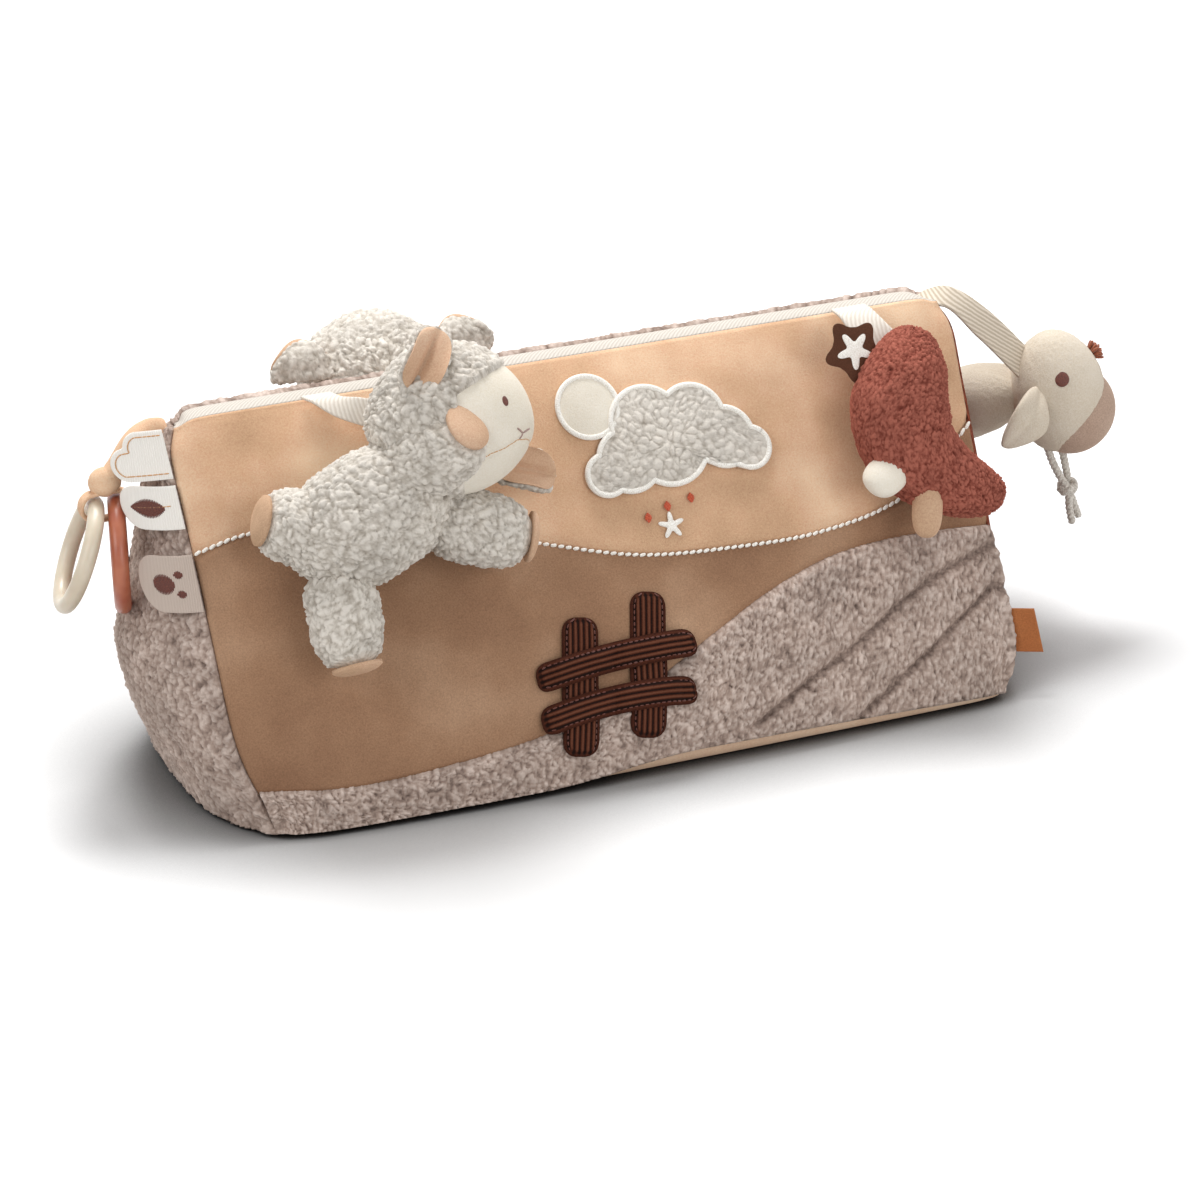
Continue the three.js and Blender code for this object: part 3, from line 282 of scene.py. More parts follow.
# %% Closed sheets of cloth
def sheet_faces(columns, rows):
    """Quads of an outer grid, an inner grid under it, and the rim that joins them."""
    top = np.arange(columns * rows).reshape(columns, rows)
    low = top + columns * rows

    def strip(a, b):
        return np.stack([a[:-1], a[1:], b[1:], b[:-1]], -1).reshape(-1, 4)

    over = np.stack([top[:-1, :-1], top[1:, :-1], top[1:, 1:], top[:-1, 1:]], -1).reshape(-1, 4)
    under = np.stack([low[:-1, :-1], low[:-1, 1:], low[1:, 1:], low[1:, :-1]], -1).reshape(-1, 4)
    rims = [strip(low[:, 0], top[:, 0]), strip(top[:, -1], low[:, -1])]
    rims += [strip(top[0], low[0]), strip(low[-1], top[-1])]
    return np.concatenate([over, under, *rims])


def closed_sheet(name, outer, inner, tuft=None):
    """Outer and inner grids of one shape (columns, rows, 3), joined round their rim."""
    columns, rows = outer.shape[:2]
    points = np.concatenate([outer.reshape(-1, 3), inner.reshape(-1, 3)])
    value = None if tuft is None else np.concatenate([tuft.ravel(), tuft.ravel()])
    return new_mesh(name, points, sheet_faces(columns, rows), tuft=value)


# %% Closed round forms
def ring_faces(count, sides):
    """Quads between neighbouring rings, and a fan of triangles to the pole at each end."""
    ring = np.arange(count * sides).reshape(count, sides)
    side = np.roll(ring, -1, axis=1)
    quads = np.stack([ring[:-1], side[:-1], side[1:], ring[1:]], -1).reshape(-1, 4)
    first, last = count * sides, count * sides + 1
    start_fan = np.stack([np.full(sides, first), side[0], ring[0]], -1)
    end_fan = np.stack([np.full(sides, last), ring[-1], side[-1]], -1)
    return quads, np.concatenate([start_fan, end_fan])


def closed_form(name, rings, poles, tuft=None):
    """Rings of points (count, sides, 3) and the two poles that close them."""
    count, sides = rings.shape[:2]
    quads, tris = ring_faces(count, sides)
    points = np.concatenate([rings.reshape(-1, 3), np.asarray(poles).reshape(2, 3)])
    value = None if tuft is None else np.concatenate([tuft.ravel(), [1, 1]])
    return new_mesh(name, points, quads, tris, tuft=value)


print("grids are", FINE, "times as coarse as for the final picture")

# %% [markdown]
# ## Pile and creases
# Plush is thousands of small locks of yarn. Real height is drawn here, so that its outline is
# soft from any side: seeds are scattered in space, a few millimetres apart, and each point of
# the cloth rises to a dome round its nearest seed.

# %% Smooth noise
def hashed(cells, seed):
    """A number from 0 to 1 for each whole-numbered cell, mixed by large odd multipliers."""
    c = cells.astype(np.int64)
    h = c[..., 0] * 73856093 ^ c[..., 1] * 19349663 ^ c[..., 2] * 83492791 ^ (seed * 2654435761)
    h = (h ^ (h >> 13)) * 1274126177 & 0xFFFFFFFF
    h = (h ^ (h >> 16)) * 2246822519 & 0xFFFFFFFF
    return ((h ^ (h >> 15)) & 0xFFFFFF) / float(0x1000000)


def waves(points, size, seed=1):
    """Smooth noise from -1 to 1: cell corners hashed, then blended by 3t^2 - 2t^3."""
    p = np.asarray(points, float) / size
    cell = np.floor(p)
    t = p - cell
    t = t * t * (3 - 2 * t)
    total = 0
    for step in np.ndindex(2, 2, 2):
        corner = np.array(step)
        weight = np.prod(np.where(corner, t, 1 - t), axis=-1)
        total = total + weight * hashed(cell + corner, seed)
    return 2 * total - 1


# %% Locks of pile
def locks(points, size, seed=1, curl=0.45, edge=0.65):
    """Domes of the pile: 1 at a seed, falling to 0 between seeds about one size apart.
    Places are first curled by smooth noise; one jittered seed is placed in each cube, and 27
    cubes are searched for the nearest two."""
    p = np.asarray(points, float).reshape(-1, 3)
    p = p / size + curl * np.stack([waves(p, size * 1.3, seed + k) for k in (3, 5, 7)], -1)
    cell = np.floor(p)
    near = np.full(len(p), 9.0)
    second = np.full(len(p), 9.0)
    for step in np.ndindex(3, 3, 3):
        neighbour = cell + np.array(step) - 1
        jitter = np.stack([hashed(neighbour, seed + k) for k in range(3)], -1)
        away = np.linalg.norm(neighbour + jitter - p, axis=-1)
        second = np.minimum(second, np.maximum(near, away))
        near = np.minimum(near, away)
    gap = np.clip((second - near) * 1.7, 0, 1)
    dome = np.sqrt(np.clip(1 - (near / 1.05) ** 2, 0, 1))
    return (dome * (1 - edge * (1 - gap) ** 2)).reshape(np.shape(points)[:-1])


def combed(points, size, way, seed):
    """Locks combed one way: 2.2 times as long as they are wide."""
    way = unit(way)
    return locks(points - 0.55 * (points @ way)[..., None] * way, size, seed, 1.0, 0.6)


# %% Smooth lines and steps
def spline(points, t):
    """Smooth line through points: cubic pieces, their speeds from the square roots of the gaps."""
    p = np.asarray(points, float)
    t = np.asarray(t, float)
    count = len(p)
    s = np.clip(t, 0, 1) * (count - 1)
    k = np.minimum(s.astype(int), count - 2)
    w = (s - k)[..., None]
    line = np.vstack([2 * p[0] - p[1], p, 2 * p[-1] - p[-2]])
    p0, p1, p2, p3 = (line[k + i] for i in range(4))
    gaps = (np.linalg.norm(b - a, axis=-1, keepdims=True) for a, b in ((p0, p1), (p1, p2), (p2, p3)))
    d0, d1, d2 = (np.maximum(gap ** 0.5, 1e-4) for gap in gaps)
    m1 = ((p1 - p0) / d0 - (p2 - p0) / (d0 + d1) + (p2 - p1) / d1) * d1
    m2 = ((p2 - p1) / d1 - (p3 - p1) / (d1 + d2) + (p3 - p2) / d2) * d1
    return p1 + m1 * w + (3 * (p2 - p1) - 2 * m1 - m2) * w ** 2 + (2 * (p1 - p2) + m1 + m2) * w ** 3


def rise(value, low, high):
    """0 below low, 1 above high, and 3t^2 - 2t^3 between."""
    t = np.clip((np.asarray(value, float) - low) / (high - low), 0, 1)
    return t * t * (3 - 2 * t)


# %% [markdown]
# ## Stuffed forms
# A limb, a head or a body is a tube whose width and depth change along a bent line, with round
# ends: that is what two or three sewn pieces of cloth make when they are filled.

# %% Stuffed forms
def stuffed(stations, across, roundness=2.0, spacing=1.1, grow=0.0):
    """Rings about a line, each cos(angle) * half width across and sin(angle) * half depth.
    Towards the ends both shrink by (1 - |2t - 1|^n)^(1/n). stations are [x, y, z, width, depth]."""
    s = np.asarray(stations, float)
    line = s[:, :3]
    girth = np.concatenate([s[:, 3:5], np.arange(len(s))[:, None]], axis=1)
    length = np.linalg.norm(np.diff(line, axis=0), axis=-1).sum()
    step = spacing * FINE
    count = max(14, int(length * 1.35 / step))
    sides = max(18, int(2 * math.pi * s[:, 3:5].max(0).mean() / step))
    t = (1 - np.cos(np.pi * (np.arange(1, count) / count))) / 2
    centre = spline(line, t)
    forward = unit(spline(line, t + 1e-4) - spline(line, t - 1e-4))
    wide = unit(across - forward * (forward @ np.asarray(across, float))[:, None])
    deep = np.cross(forward, wide)
    size = spline(girth, t)
    end = ((1 - np.abs(2 * t - 1) ** roundness) ** (1 / roundness))[:, None]
    angle = 2 * np.pi * np.arange(sides) / sides
    a = (size[:, :1] * end + grow) * np.cos(angle)
    b = (size[:, 1:2] * end + grow) * np.sin(angle)
    rings = centre[:, None] + a[..., None] * wide[:, None] + b[..., None] * deep[:, None]
    poles = np.array([line[0] - forward[0] * grow, line[-1] + forward[-1] * grow])
    return rings, poles


# %% Pile on a form
LOCK = 3.3


def outward(rings):
    """Normals of rings: the cross product of their two directions, turned away from the line."""
    around = (np.roll(rings, -1, axis=1) - np.roll(rings, 1, axis=1)) / 2
    normal = unit(np.cross(np.gradient(rings, axis=0), around))
    return normal if np.sum(normal * (rings - rings.mean(1, keepdims=True))) > 0 else -normal


def with_pile(rings, poles, size=LOCK, height=1.5, sink=0.5, seed=1, keep=1.0, sag=0.0):
    """Moves each point out by (height * pile - sink + sag * lumps) * keep, where pile is the
    domes of large locks + 0.4 of small ones. The lumps are those of plush over loose filling."""
    normal = outward(rings)
    tuft = locks(rings, size * 1.35, seed, 0.8, 0.5)
    rough = tuft + 0.4 * locks(rings, size * 0.6, seed + 9, 0.8, 0.5)
    lumps = sag * (waves(rings, 17, seed + 4) + 0.5 * waves(rings, 8, seed + 6))
    moved = rings + normal * ((rough * height - sink + lumps) * keep)[..., None]
    # The third value, the pile's height, is what the plush shaders turn into painted shade in the partings.
    return moved, poles, np.clip(rough / 1.3, 0, 1)


print("locks of wool are", LOCK, "mm across")

# %% [markdown]
# ## Cloths with a pile
# Brushed velour, long curly fleece, wool-like bouclé plush and looped terry each have their
# own nap, so each gets its own pattern, at a size measured in millimetres. The tuft attribute
# says how high a point stands in the pile; the plush shaders turn low points dark, as painted
# shade in the gaps between the locks.

# %% Velour and plush shaders
def per_mm(size):
    """Texture scale that makes one cell of a pattern size mm wide."""
    return 1 / (size * MM)


def velour(name, dark, mid, light):
    """Short brushed pile, knitted then cut: hands leave darker and lighter patches in its nap,
    about 70 mm wide, and its fibre ends show as a grain, drawn 0.9 mm coarse so that it shows."""
    material, tree, shader, place = start(name)
    patch = {"Vector": place, "Scale": per_mm(70), "Detail": 3.0, "Roughness": 0.5}
    nap = add(tree, "TexNoise", inputs=patch).outputs[0]
    stops = [(0.3, dark), (0.5, mid), (0.7, light)]
    colour = add(tree, "ValToRGB", {"stops": stops}, {"Fac": nap}).outputs[0]
    fibre = {"Vector": place, "Scale": per_mm(0.9), "Detail": 2.0, "Roughness": 0.7}
    grain = add(tree, "TexNoise", inputs=fibre).outputs[0]
    flecks = [(0.3, "#8C8C8C"), (0.7, "#C4C4C4")]
    speck = add(tree, "ValToRGB", {"stops": flecks}, {"Fac": grain}).outputs[0]
    overlay = {"data_type": "RGBA", "blend_type": "OVERLAY"}
    connect(shader, {
        "Base Color": add(tree, "Mix", overlay, {0: 0.5, 6: colour, 7: speck}).outputs[2],
        "Normal": add(tree, "Bump", inputs={"Height": grain, "Distance": 0.25 * MM}).outputs[0],
        "Roughness": 0.85, "Specular IOR Level": 0.15,
        "Sheen Weight": 0.35, "Sheen Roughness": 0.4, "Sheen Tint": linear(light),
    })
    return material


def plush(name, deep, mid, tip, yarn, curl):
    """Locks of curled yarn, with fine loops over them, in painted shade: dark deep in the pile and where
    the locks part, pale at their tips.
    Level = 0.85 tuft + 0.35 - 0.4 distance to the nearest curl's middle + 0.22 loops."""
    material, tree, shader, place = start(name)
    depth = add(tree, "Attribute", {"attribute_name": "tuft"}).outputs["Fac"]
    strand = {"Vector": place, "Scale": per_mm(yarn), "Detail": 3.0, "Roughness": 0.65}
    loops = add(tree, "TexNoise", inputs=strand).outputs[0]
    bent = {"Vector": place, "Scale": per_mm(curl * 1.5), "Detail": 1.5}
    swirl = add(tree, "TexNoise", inputs=bent).outputs["Color"]
    reach = {0: swirl, 1: (1.6 * curl * MM,) * 3, 2: place}
    curled = add(tree, "VectorMath", {"operation": "MULTIPLY_ADD"}, reach).outputs[0]
    cell = {"Vector": curled, "Scale": per_mm(curl), "Smoothness": 0.35}
    away = add(tree, "TexVoronoi", {"feature": "SMOOTH_F1"}, cell).outputs["Distance"]
    lock = add(tree, "Math", {"operation": "MULTIPLY_ADD"}, {0: away, 1: -0.4, 2: 0.35}).outputs[0]
    fine = add(tree, "Math", {"operation": "MULTIPLY_ADD"}, {0: loops, 1: 0.22, 2: lock}).outputs[0]
    level = add(tree, "Math", {"operation": "MULTIPLY_ADD"}, {0: depth, 1: 0.85, 2: fine}).outputs[0]
    # Painted shade: low tufts and the edges of the curls get the deep colour, the high tips the pale one.
    stops = [(0.2, deep), (0.6, mid), (1.0, tip)]
    base = add(tree, "ValToRGB", {"stops": stops}, {"Fac": level}).outputs[0]
    broad = {"Vector": place, "Scale": per_mm(26), "Detail": 1.0, "Roughness": 0.55}
    drift = add(tree, "TexNoise", inputs=broad).outputs[0]
    greys = [(0.3, "#D8D8D8"), (0.7, "#FFFFFF")]
    shade = add(tree, "ValToRGB", {"stops": greys}, {"Fac": drift}).outputs[0]
    multiply = {"data_type": "RGBA", "blend_type": "MULTIPLY"}
    connect(shader, {
        "Base Color": add(tree, "Mix", multiply, {0: 0.6, 6: base, 7: shade}).outputs[2],
        "Normal": add(tree, "Bump", inputs={"Height": fine, "Distance": 0.5 * curl * MM}).outputs[0],
        "Roughness": 0.95, "Specular IOR Level": 0.1,
        "Sheen Weight": 0.25, "Sheen Roughness": 0.5, "Sheen Tint": linear(tip),
    })
    return material


# %% [markdown]
# Velour is a polyester knit whose loops are cut and brushed. The eye gets a soft, matt, patchy
# surface that pales where it turns away. Plush, fleece and terry are knitted with long loops:
# the eye gets tufts with dark partings, and no shine at all.

# %% Velour and plush finishes
# Warm sand velour of the sky: pale strokes where the nap lies flat.
tan_velour = velour("tan_brushed_velour", "#C49F7D", "#DAB693", "#EFD2B4")
# The field's velour is the same cloth with darker colours: painted shade of the lower slope, which turns
# away from the light.
shaded_field_velour = velour("tan_lower_velour", "#906C53", "#A37E62", "#BC987B")
# Soles and ears: closely shorn, so more even.
sole_velour = velour("tan_sole_velour", "#BA9878", "#CFAE90", "#DDC0A4")
# Faces and the moon: undyed velour, nearly smooth.
ivory_velour = velour("ivory_smooth_velour", "#DED6C7", "#EAE3D6", "#F3EEE4")
# The cow's muzzle: dusty rose-brown velour.
taupe_velour = velour("taupe_muzzle_velour", "#A98D7A", "#B99E8C", "#C6AE9D")
# The cow's short plush: cream, with a hazy edge.
cream_plush = velour("cream_short_plush", "#C4B8A8", "#D3C8B8", "#E0D6C8")
# Plush colours: deep is painted shade in the partings of the pile; mid and tip colour its locks.
# The hill and the left end: sherpa fleece in curled locks about 2.5 mm wide.
taupe_fleece = plush("taupe_curly_fleece", "#695850", "#B09B8F", "#DBC9BE", 0.8, 2.5)
# The lambs: bouclé with round curls about 2.8 mm wide, nearly white at their tips.
wool_plush = plush("grey_wool_boucle", "#72675C", "#B7AEA2", "#E6DFD5", 0.8, 2.8)
# The bird: terry in small even loops, with deep red-brown painted shade in the gaps.
brown_terry = plush("brown_looped_terry", "#35140F", "#783C31", "#AC6656", 0.6, 1.9)
print("plush and velour:", len(bpy.data.materials), "materials so far")

# %% [markdown]
# ## Woven cloths, thread and plastic
# Corduroy is woven with cut ribs, called wales. The fence's ribs are real height, marked by the
# tuft attribute, and the grooves between them are darkened as painted shade. The right end's ribs
# are finer than its grid, so its shader draws them as painted shade and a bump. Twill
# tape shows slanted ridges, thread shows its strands, and moulded plastic is nearly plain.

# %% Corduroy, twill, thread and plastic shaders
def corduroy(name, groove, rib, crest, wide=None):
    """Cut ribs with short pile: painted shade in the grooves, softly worn crests. The ribs are real height,
    in the tuft, or lie along z at every wide mm of y, painted and bumped only: 0.5 + 0.5 sin(2 pi y /
    wide)."""
    material, tree, shader, place = start(name)
    depth = add(tree, "Attribute", {"attribute_name": "tuft"}).outputs["Fac"]
    if wide:
        y = add(tree, "SeparateXYZ", inputs={0: place}).outputs["Y"]
        per_wale = 2 * math.pi / (wide * MM)
        turns = add(tree, "Math", {"operation": "MULTIPLY"}, {0: y, 1: per_wale}).outputs[0]
        wave = add(tree, "Math", {"operation": "SINE"}, {0: turns}).outputs[0]
        depth = add(tree, "Math", {"operation": "MULTIPLY_ADD"}, {0: wave, 1: 0.5, 2: 0.5}).outputs[0]
    short = {"Vector": place, "Scale": per_mm(0.8), "Detail": 2.0, "Roughness": 0.7}
    fuzz = add(tree, "TexNoise", inputs=short).outputs[0]
    uneven = add(tree, "Math", {"operation": "MULTIPLY_ADD"}, {0: fuzz, 1: 0.6, 2: -0.3}).outputs[0]
    level = add(tree, "Math", {"operation": "ADD"}, {0: depth, 1: uneven}).outputs[0]
    # Painted shade: the groove colour falls where the ribs are low.
    stops = [(0.1, groove), (0.525, rib), (0.95, crest)]
    raised = {"Height": level if wide else fuzz, "Distance": (0.9 if wide else 0.3) * MM}
    connect(shader, {
        "Base Color": add(tree, "ValToRGB", {"stops": stops}, {"Fac": level}).outputs[0],
        "Normal": add(tree, "Bump", inputs=raised).outputs[0],
        "Roughness": 0.9, "Specular IOR Level": 0.12, "Sheen Weight": 0.2, "Sheen Tint": linear(crest),
    })
    return material


def twill(name, dark, light, ridge=1.8, turn=(0.0, 0.0, 0.7)):
    """Woven tape: slanted ridges, drawn a little wider than the real ones, so that they show.
    Bands repeat every 2 pi / 20 = 0.314 of a Scale of 1, so the scale is 0.314 / ridge."""
    material, tree, shader, place = start(name)
    turned = add(tree, "Mapping", inputs={"Vector": place, "Rotation": turn}).outputs[0]
    bands = {"wave_type": "BANDS", "bands_direction": "X"}
    slant = {
        "Vector": turned, "Scale": 0.314 * per_mm(ridge), "Distortion": 1.2,
        "Detail": 2.0, "Detail Scale": 2.0,
    }
    weave = add(tree, "TexWave", bands, slant).outputs["Fac"]
    stops = [(0.1, dark), (0.9, light)]
    connect(shader, {
        "Base Color": add(tree, "ValToRGB", {"stops": stops}, {"Fac": weave}).outputs[0],
        "Normal": add(tree, "Bump", inputs={"Height": weave, "Distance": 0.15 * MM}).outputs[0],
        "Roughness": 0.9, "Specular IOR Level": 0.2,
    })
    return material


def thread(name, dark, light, strand=0.5):
    """Spun thread with a soft shine: light and dark strands, strand mm wide."""
    material, tree, shader, place = start(name)
    spun = {"Vector": place, "Scale": per_mm(strand), "Detail": 2.0, "Roughness": 0.55}
    strands = add(tree, "TexNoise", inputs=spun).outputs[0]
    stops = [(0.35, dark), (0.65, light)]
    connect(shader, {
        "Base Color": add(tree, "ValToRGB", {"stops": stops}, {"Fac": strands}).outputs[0],
        "Normal": add(tree, "Bump", inputs={"Height": strands, "Distance": 0.1 * MM}).outputs[0],
        "Roughness": 0.6, "Sheen Weight": 0.2,
    })
    return material


def moulded(name, dark, light):
    """Injection-moulded ring: a satin skin, with the faint cloudiness of tinted plastic."""
    material, tree, shader, place = start(name)
    deep = {"Vector": place, "Scale": per_mm(14), "Detail": 2.0, "Roughness": 0.55}
    cloud = add(tree, "TexNoise", inputs=deep).outputs[0]
    skin = add(tree, "TexNoise", inputs={**deep, "Scale": per_mm(0.6)}).outputs[0]
    stops = [(0.3, dark), (0.7, light)]
    connect(shader, {
        "Base Color": add(tree, "ValToRGB", {"stops": stops}, {"Fac": cloud}).outputs[0],
        "Normal": add(tree, "Bump", inputs={"Height": skin, "Distance": 0.02 * MM}).outputs[0],
        "Roughness": 0.38, "Coat Weight": 0.15, "Coat Roughness": 0.25, "Subsurface Weight": 0.05,
    })
    return material


# %% Woven, thread and plastic finishes
# The fence: wide wales with nearly black painted shade in the grooves between brown crests.
brown_corduroy = corduroy("brown_wide_corduroy", "#1A0B07", "#4C2619", "#69402F")
# The right end: rust corduroy with a wale every 3.6 mm, each drawn as painted shade and a bump.
rust_corduroy = corduroy("rust_end_corduroy", "#4A1A0F", "#7E3B25", "#98523A", 3.6)
# The ridge: undyed cotton twill, matt and pale.
cream_twill = twill("cream_gusset_twill", "#BFB7AD", "#D2CBC2")
# The cow's tape: heavier natural cotton, flecked with brown.
cotton_twill = twill("natural_tape_twill", "#B9AB98", "#DCD0C0", 1.6, (0.2, 0.9, 0.4))
# The underside: a plain light velour, hardly brushed.
base_velour = velour("tan_base_velour", "#D5B79B", "#E0C5AB", "#EAD3BD")
# The lambs' and the bird's tapes: fine bleached twill.
tape_twill = twill("cream_tape_twill", "#DAD1C5", "#EEE7DD", 1.4, (0.3, 0.5, 0.9))
# Labels: woven polyester satin, so fine that it looks smooth.
label_satin = twill("printed_label_satin", "#EEE9E1", "#F6F2EC", 0.8)
# The round label: the same satin, dyed taupe.
taupe_satin = twill("taupe_label_satin", "#BDACA0", "#CBBCB1", 0.8)
# The side tab: pressed felt, matt, with no grain to speak of.
rust_felt = velour("rust_tab_felt", "#9A5B35", "#A8663C", "#B47448")
# Embroidery thread is rayon: its strands catch the light.
white_thread = thread("white_embroidery_thread", "#DCD6CA", "#FFFDF8")
brown_thread = thread("brown_embroidery_thread", "#451B10", "#6B3120")
tan_thread = thread("tan_embroidery_thread", "#B98A5C", "#D3A474")
orange_thread = thread("orange_embroidery_thread", "#A93D1C", "#D0592F")
# Rope is soft cotton: broader strands, greyed by handling.
grey_rope = thread("grey_cotton_rope", "#ADA59A", "#DCD6CD", 0.9)
# Teething rings are food-safe plastic: a low gloss with soft highlights.
ivory_plastic = moulded("ivory_moulded_plastic", "#C9BBA5", "#D9CDB9")
terracotta_plastic = moulded("terracotta_moulded_plastic", "#9C4F36", "#B36A4C")
print("all cloths:", len(bpy.data.materials), "materials")

# %% [markdown]
# ## The cushion's seams
# Six flat faces meet at the seams. Each seam bows a little between its corners, because the
# filling pushes it out, and each panel crowns between its seams. A point of a panel is found
# from two shares, u along the face and v up it, from 0 to 1.

# %% Seam planes and crowns
LENGTH, DEPTH, HEIGHT, RIDGE = 450.0, 210.0, 206.0, 20.0
LEFT_LEAN, SEAM_RISE = 6.0, 4.0
SEAM_ARCH, FRONT_BULGE, END_BULGE, SIDE_TUCK = 6.0, 5.0, 5.0, 2.0
RUN = (DEPTH - RIDGE) / 2
SLOPE_LENGTH = math.hypot(RUN, HEIGHT)
BASE_ROUNDING = 12.0


def plane(normal, point):
    """A plane as its unit normal and its distance from the origin."""
    n = unit(normal)
    return n, float(n @ np.array(point, float))


PLANES = {
    "front": plane((0, -HEIGHT, RUN), (0, -DEPTH / 2, 0)),
    "back": plane((0, HEIGHT, RUN), (0, DEPTH / 2, 0)),
    "ridge": plane((0, 0, 1), (0, 0, HEIGHT)),
    "base": plane((0, 0, -1), (0, 0, SEAM_RISE)),
    "left": plane((-HEIGHT, 0, -LEFT_LEAN), (-LENGTH / 2, 0, HEIGHT)),
    "right": plane((1, 0, 0), (LENGTH / 2, 0, 0)),
}
FACES = {
    "front": ("left", "right", "base", "ridge"),
    "back": ("right", "left", "base", "ridge"),
    "ridge": ("left", "right", "front", "back"),
    "left": ("back", "front", "base", "ridge"),
    "right": ("front", "back", "base", "ridge"),
    "base": ("left", "right", "back", "front"),
}
BOWS = {
    ("base", "front"): (0, -FRONT_BULGE, SEAM_ARCH),
    ("back", "base"): (0, FRONT_BULGE, SEAM_ARCH),
    ("base", "left"): (-END_BULGE, 0, SEAM_ARCH),
    ("base", "right"): (END_BULGE, 0, SEAM_ARCH),
    ("front", "left"): (SIDE_TUCK, 0, 0),
    ("back", "left"): (SIDE_TUCK, 0, 0),
    ("front", "right"): (-SIDE_TUCK, 0, 0),
    ("back", "right"): (-SIDE_TUCK, 0, 0),
}


# %% Points on a face
def corner(names, inset):
    """Where three planes meet, each moved in by inset: one 3 by 3 system of equations."""
    normals = np.array([PLANES[n][0] for n in names])
    return np.linalg.solve(normals, [PLANES[n][1] - inset for n in names])


def bow(a, b, t):
    """A seam's bow at share t: its greatest bow times 4t(1 - t)."""
    return np.multiply.outer(4 * t * (1 - t), np.array(BOWS.get(tuple(sorted((a, b))), (0, 0, 0)), float))


def seam_point(face, u, v, inset=0.0):
    """Blends the four corners by u and v, then adds the bows of the four seams."""
    u0, u1, v0, v1 = FACES[face]
    a, b = corner((face, u0, v0), inset), corner((face, u1, v0), inset)
    c, d = corner((face, u0, v1), inset), corner((face, u1, v1), inset)
    U, W = u[..., None], v[..., None]
    flat = (a + (b - a) * U) * (1 - W) + (c + (d - c) * U) * W
    flat = flat + bow(face, v0, u) * (1 - W) + bow(face, v1, u) * W
    return flat + bow(face, u0, v) * (1 - U) + bow(face, u1, v) * U


def dome(t, power):
    """1 - |2t - 1|^power: 0 at both ends, 1 in the middle."""
    return 1 - np.abs(2 * t - 1) ** power


def quarter(t):
    """A quarter circle: 0 at 0, 1 from 1 on."""
    return np.sqrt(np.clip(1 - (1 - np.minimum(t, 1)) ** 2, 0, 1))


def crown(face, u, v):
    """How far a panel stands off its seams' plane, in mm: a dome across times a dome up. The
    base is flat on the floor and rounds up to its seams in quarter circles."""
    if face in ("front", "back"):
        return (9 if face == "front" else 11) * dome(u, 4) * dome(v, 2.4)
    if face == "ridge":
        return 1.5 * dome(u, 4) * dome(v, 2)
    if face == "base":
        across = np.minimum(u, 1 - u) * LENGTH / BASE_ROUNDING
        along = np.minimum(v, 1 - v) * DEPTH / BASE_ROUNDING
        return seam_point("base", u, v)[..., 2] * quarter(across) * quarter(along)
    return 13 * dome(u, 2) * (1 - v ** 2.2) * (1 - (1 - v) ** 4)


# %% Soft edges and corners
# How far each edge is drawn in, in mm, and each corner's reach and how far it is drawn in.
EDGES = {
    ("front", "left"): 2.2, ("front", "right"): 2.2, ("back", "left"): 6.0, ("back", "right"): 5.0,
    ("ridge", "front"): 1.6, ("ridge", "back"): 2.5, ("ridge", "left"): 3.0, ("ridge", "right"): 2.5,
    ("base", "left"): 1.5, ("base", "right"): 2.0, ("base", "back"): 2.0, ("base", "front"): 2.0,
}
CORNERS = {
    ("front", "left", "base"): (34, 15), ("back", "left", "base"): (45, 16),
    ("front", "right", "base"): (22, 7), ("back", "right", "base"): (40, 14),
    ("front", "left", "ridge"): (14, 3), ("front", "right", "ridge"): (14, 3),
    ("back", "left", "ridge"): (16, 5), ("back", "right", "ridge"): (16, 2),
}


def soften(points):
    """Rounds the cushion: points move in by k exp(-(a^2 + b^2) / 12^2), where a and b are their
    distances from the two faces of an edge, and likewise round each corner."""
    depth = {name: d - points @ n for name, (n, d) in PLANES.items()}
    moved = points.copy()
    for (a, b), k in EDGES.items():
        way = unit(PLANES[a][0] + PLANES[b][0])
        way = unit(way * [1, 1, 0]) if "base" in (a, b) else way
        moved -= (k * np.exp(-(depth[a] ** 2 + depth[b] ** 2) / 144))[..., None] * way
    for names, (radius, k) in CORNERS.items():
        place = corner(names, 0.0)
        away = np.linalg.norm(points - place, axis=-1)
        way = unit(place * [1, 0.8, 0]) if "base" in names else unit(place * [1, 1, 0.4])
        moved -= (k * np.exp(-(away / radius) ** 2))[..., None] * way
    return moved


def face_point(face, u, v, lift=0.0, inset=0.0):
    """A point of a face: its place among the seams, then crown + lift along the face's normal."""
    height = crown(face, u, v) + lift
    return seam_point(face, u, v, inset) + height[..., None] * PLANES[face][0]


# %% [markdown]
# ## Lines across the front
# The front is three cloths sewn along two curves: a hill's edge and a horizon. Two more curves
# are furrows sewn into the hill. Each is a list of places, from the middle of the front and up
# the slope, in mm, joined by smooth pieces.

# %% Hill, horizon and furrows
HILL_EDGE = np.array([
    [-225, 26], [-160, 19.5], [-100, 21.5], [-50, 27.5], [0, 40],
    [45, 62], [85, 81], [126, 94], [170, 98], [225, 97],
], float)
HORIZON = np.array([
    [-225, 155], [-188, 161], [-120, 152], [-44, 130], [15, 113],
    [75, 108], [120, 108.5], [168, 118], [200, 137], [225, 156],
], float)
FURROWS = [
    np.array([[58, 10], [94, 29], [127, 45], [160, 64], [187, 76], [222, 87]], float),
    np.array([[118, 3], [152, 24], [180, 41], [216, 64]], float),
]


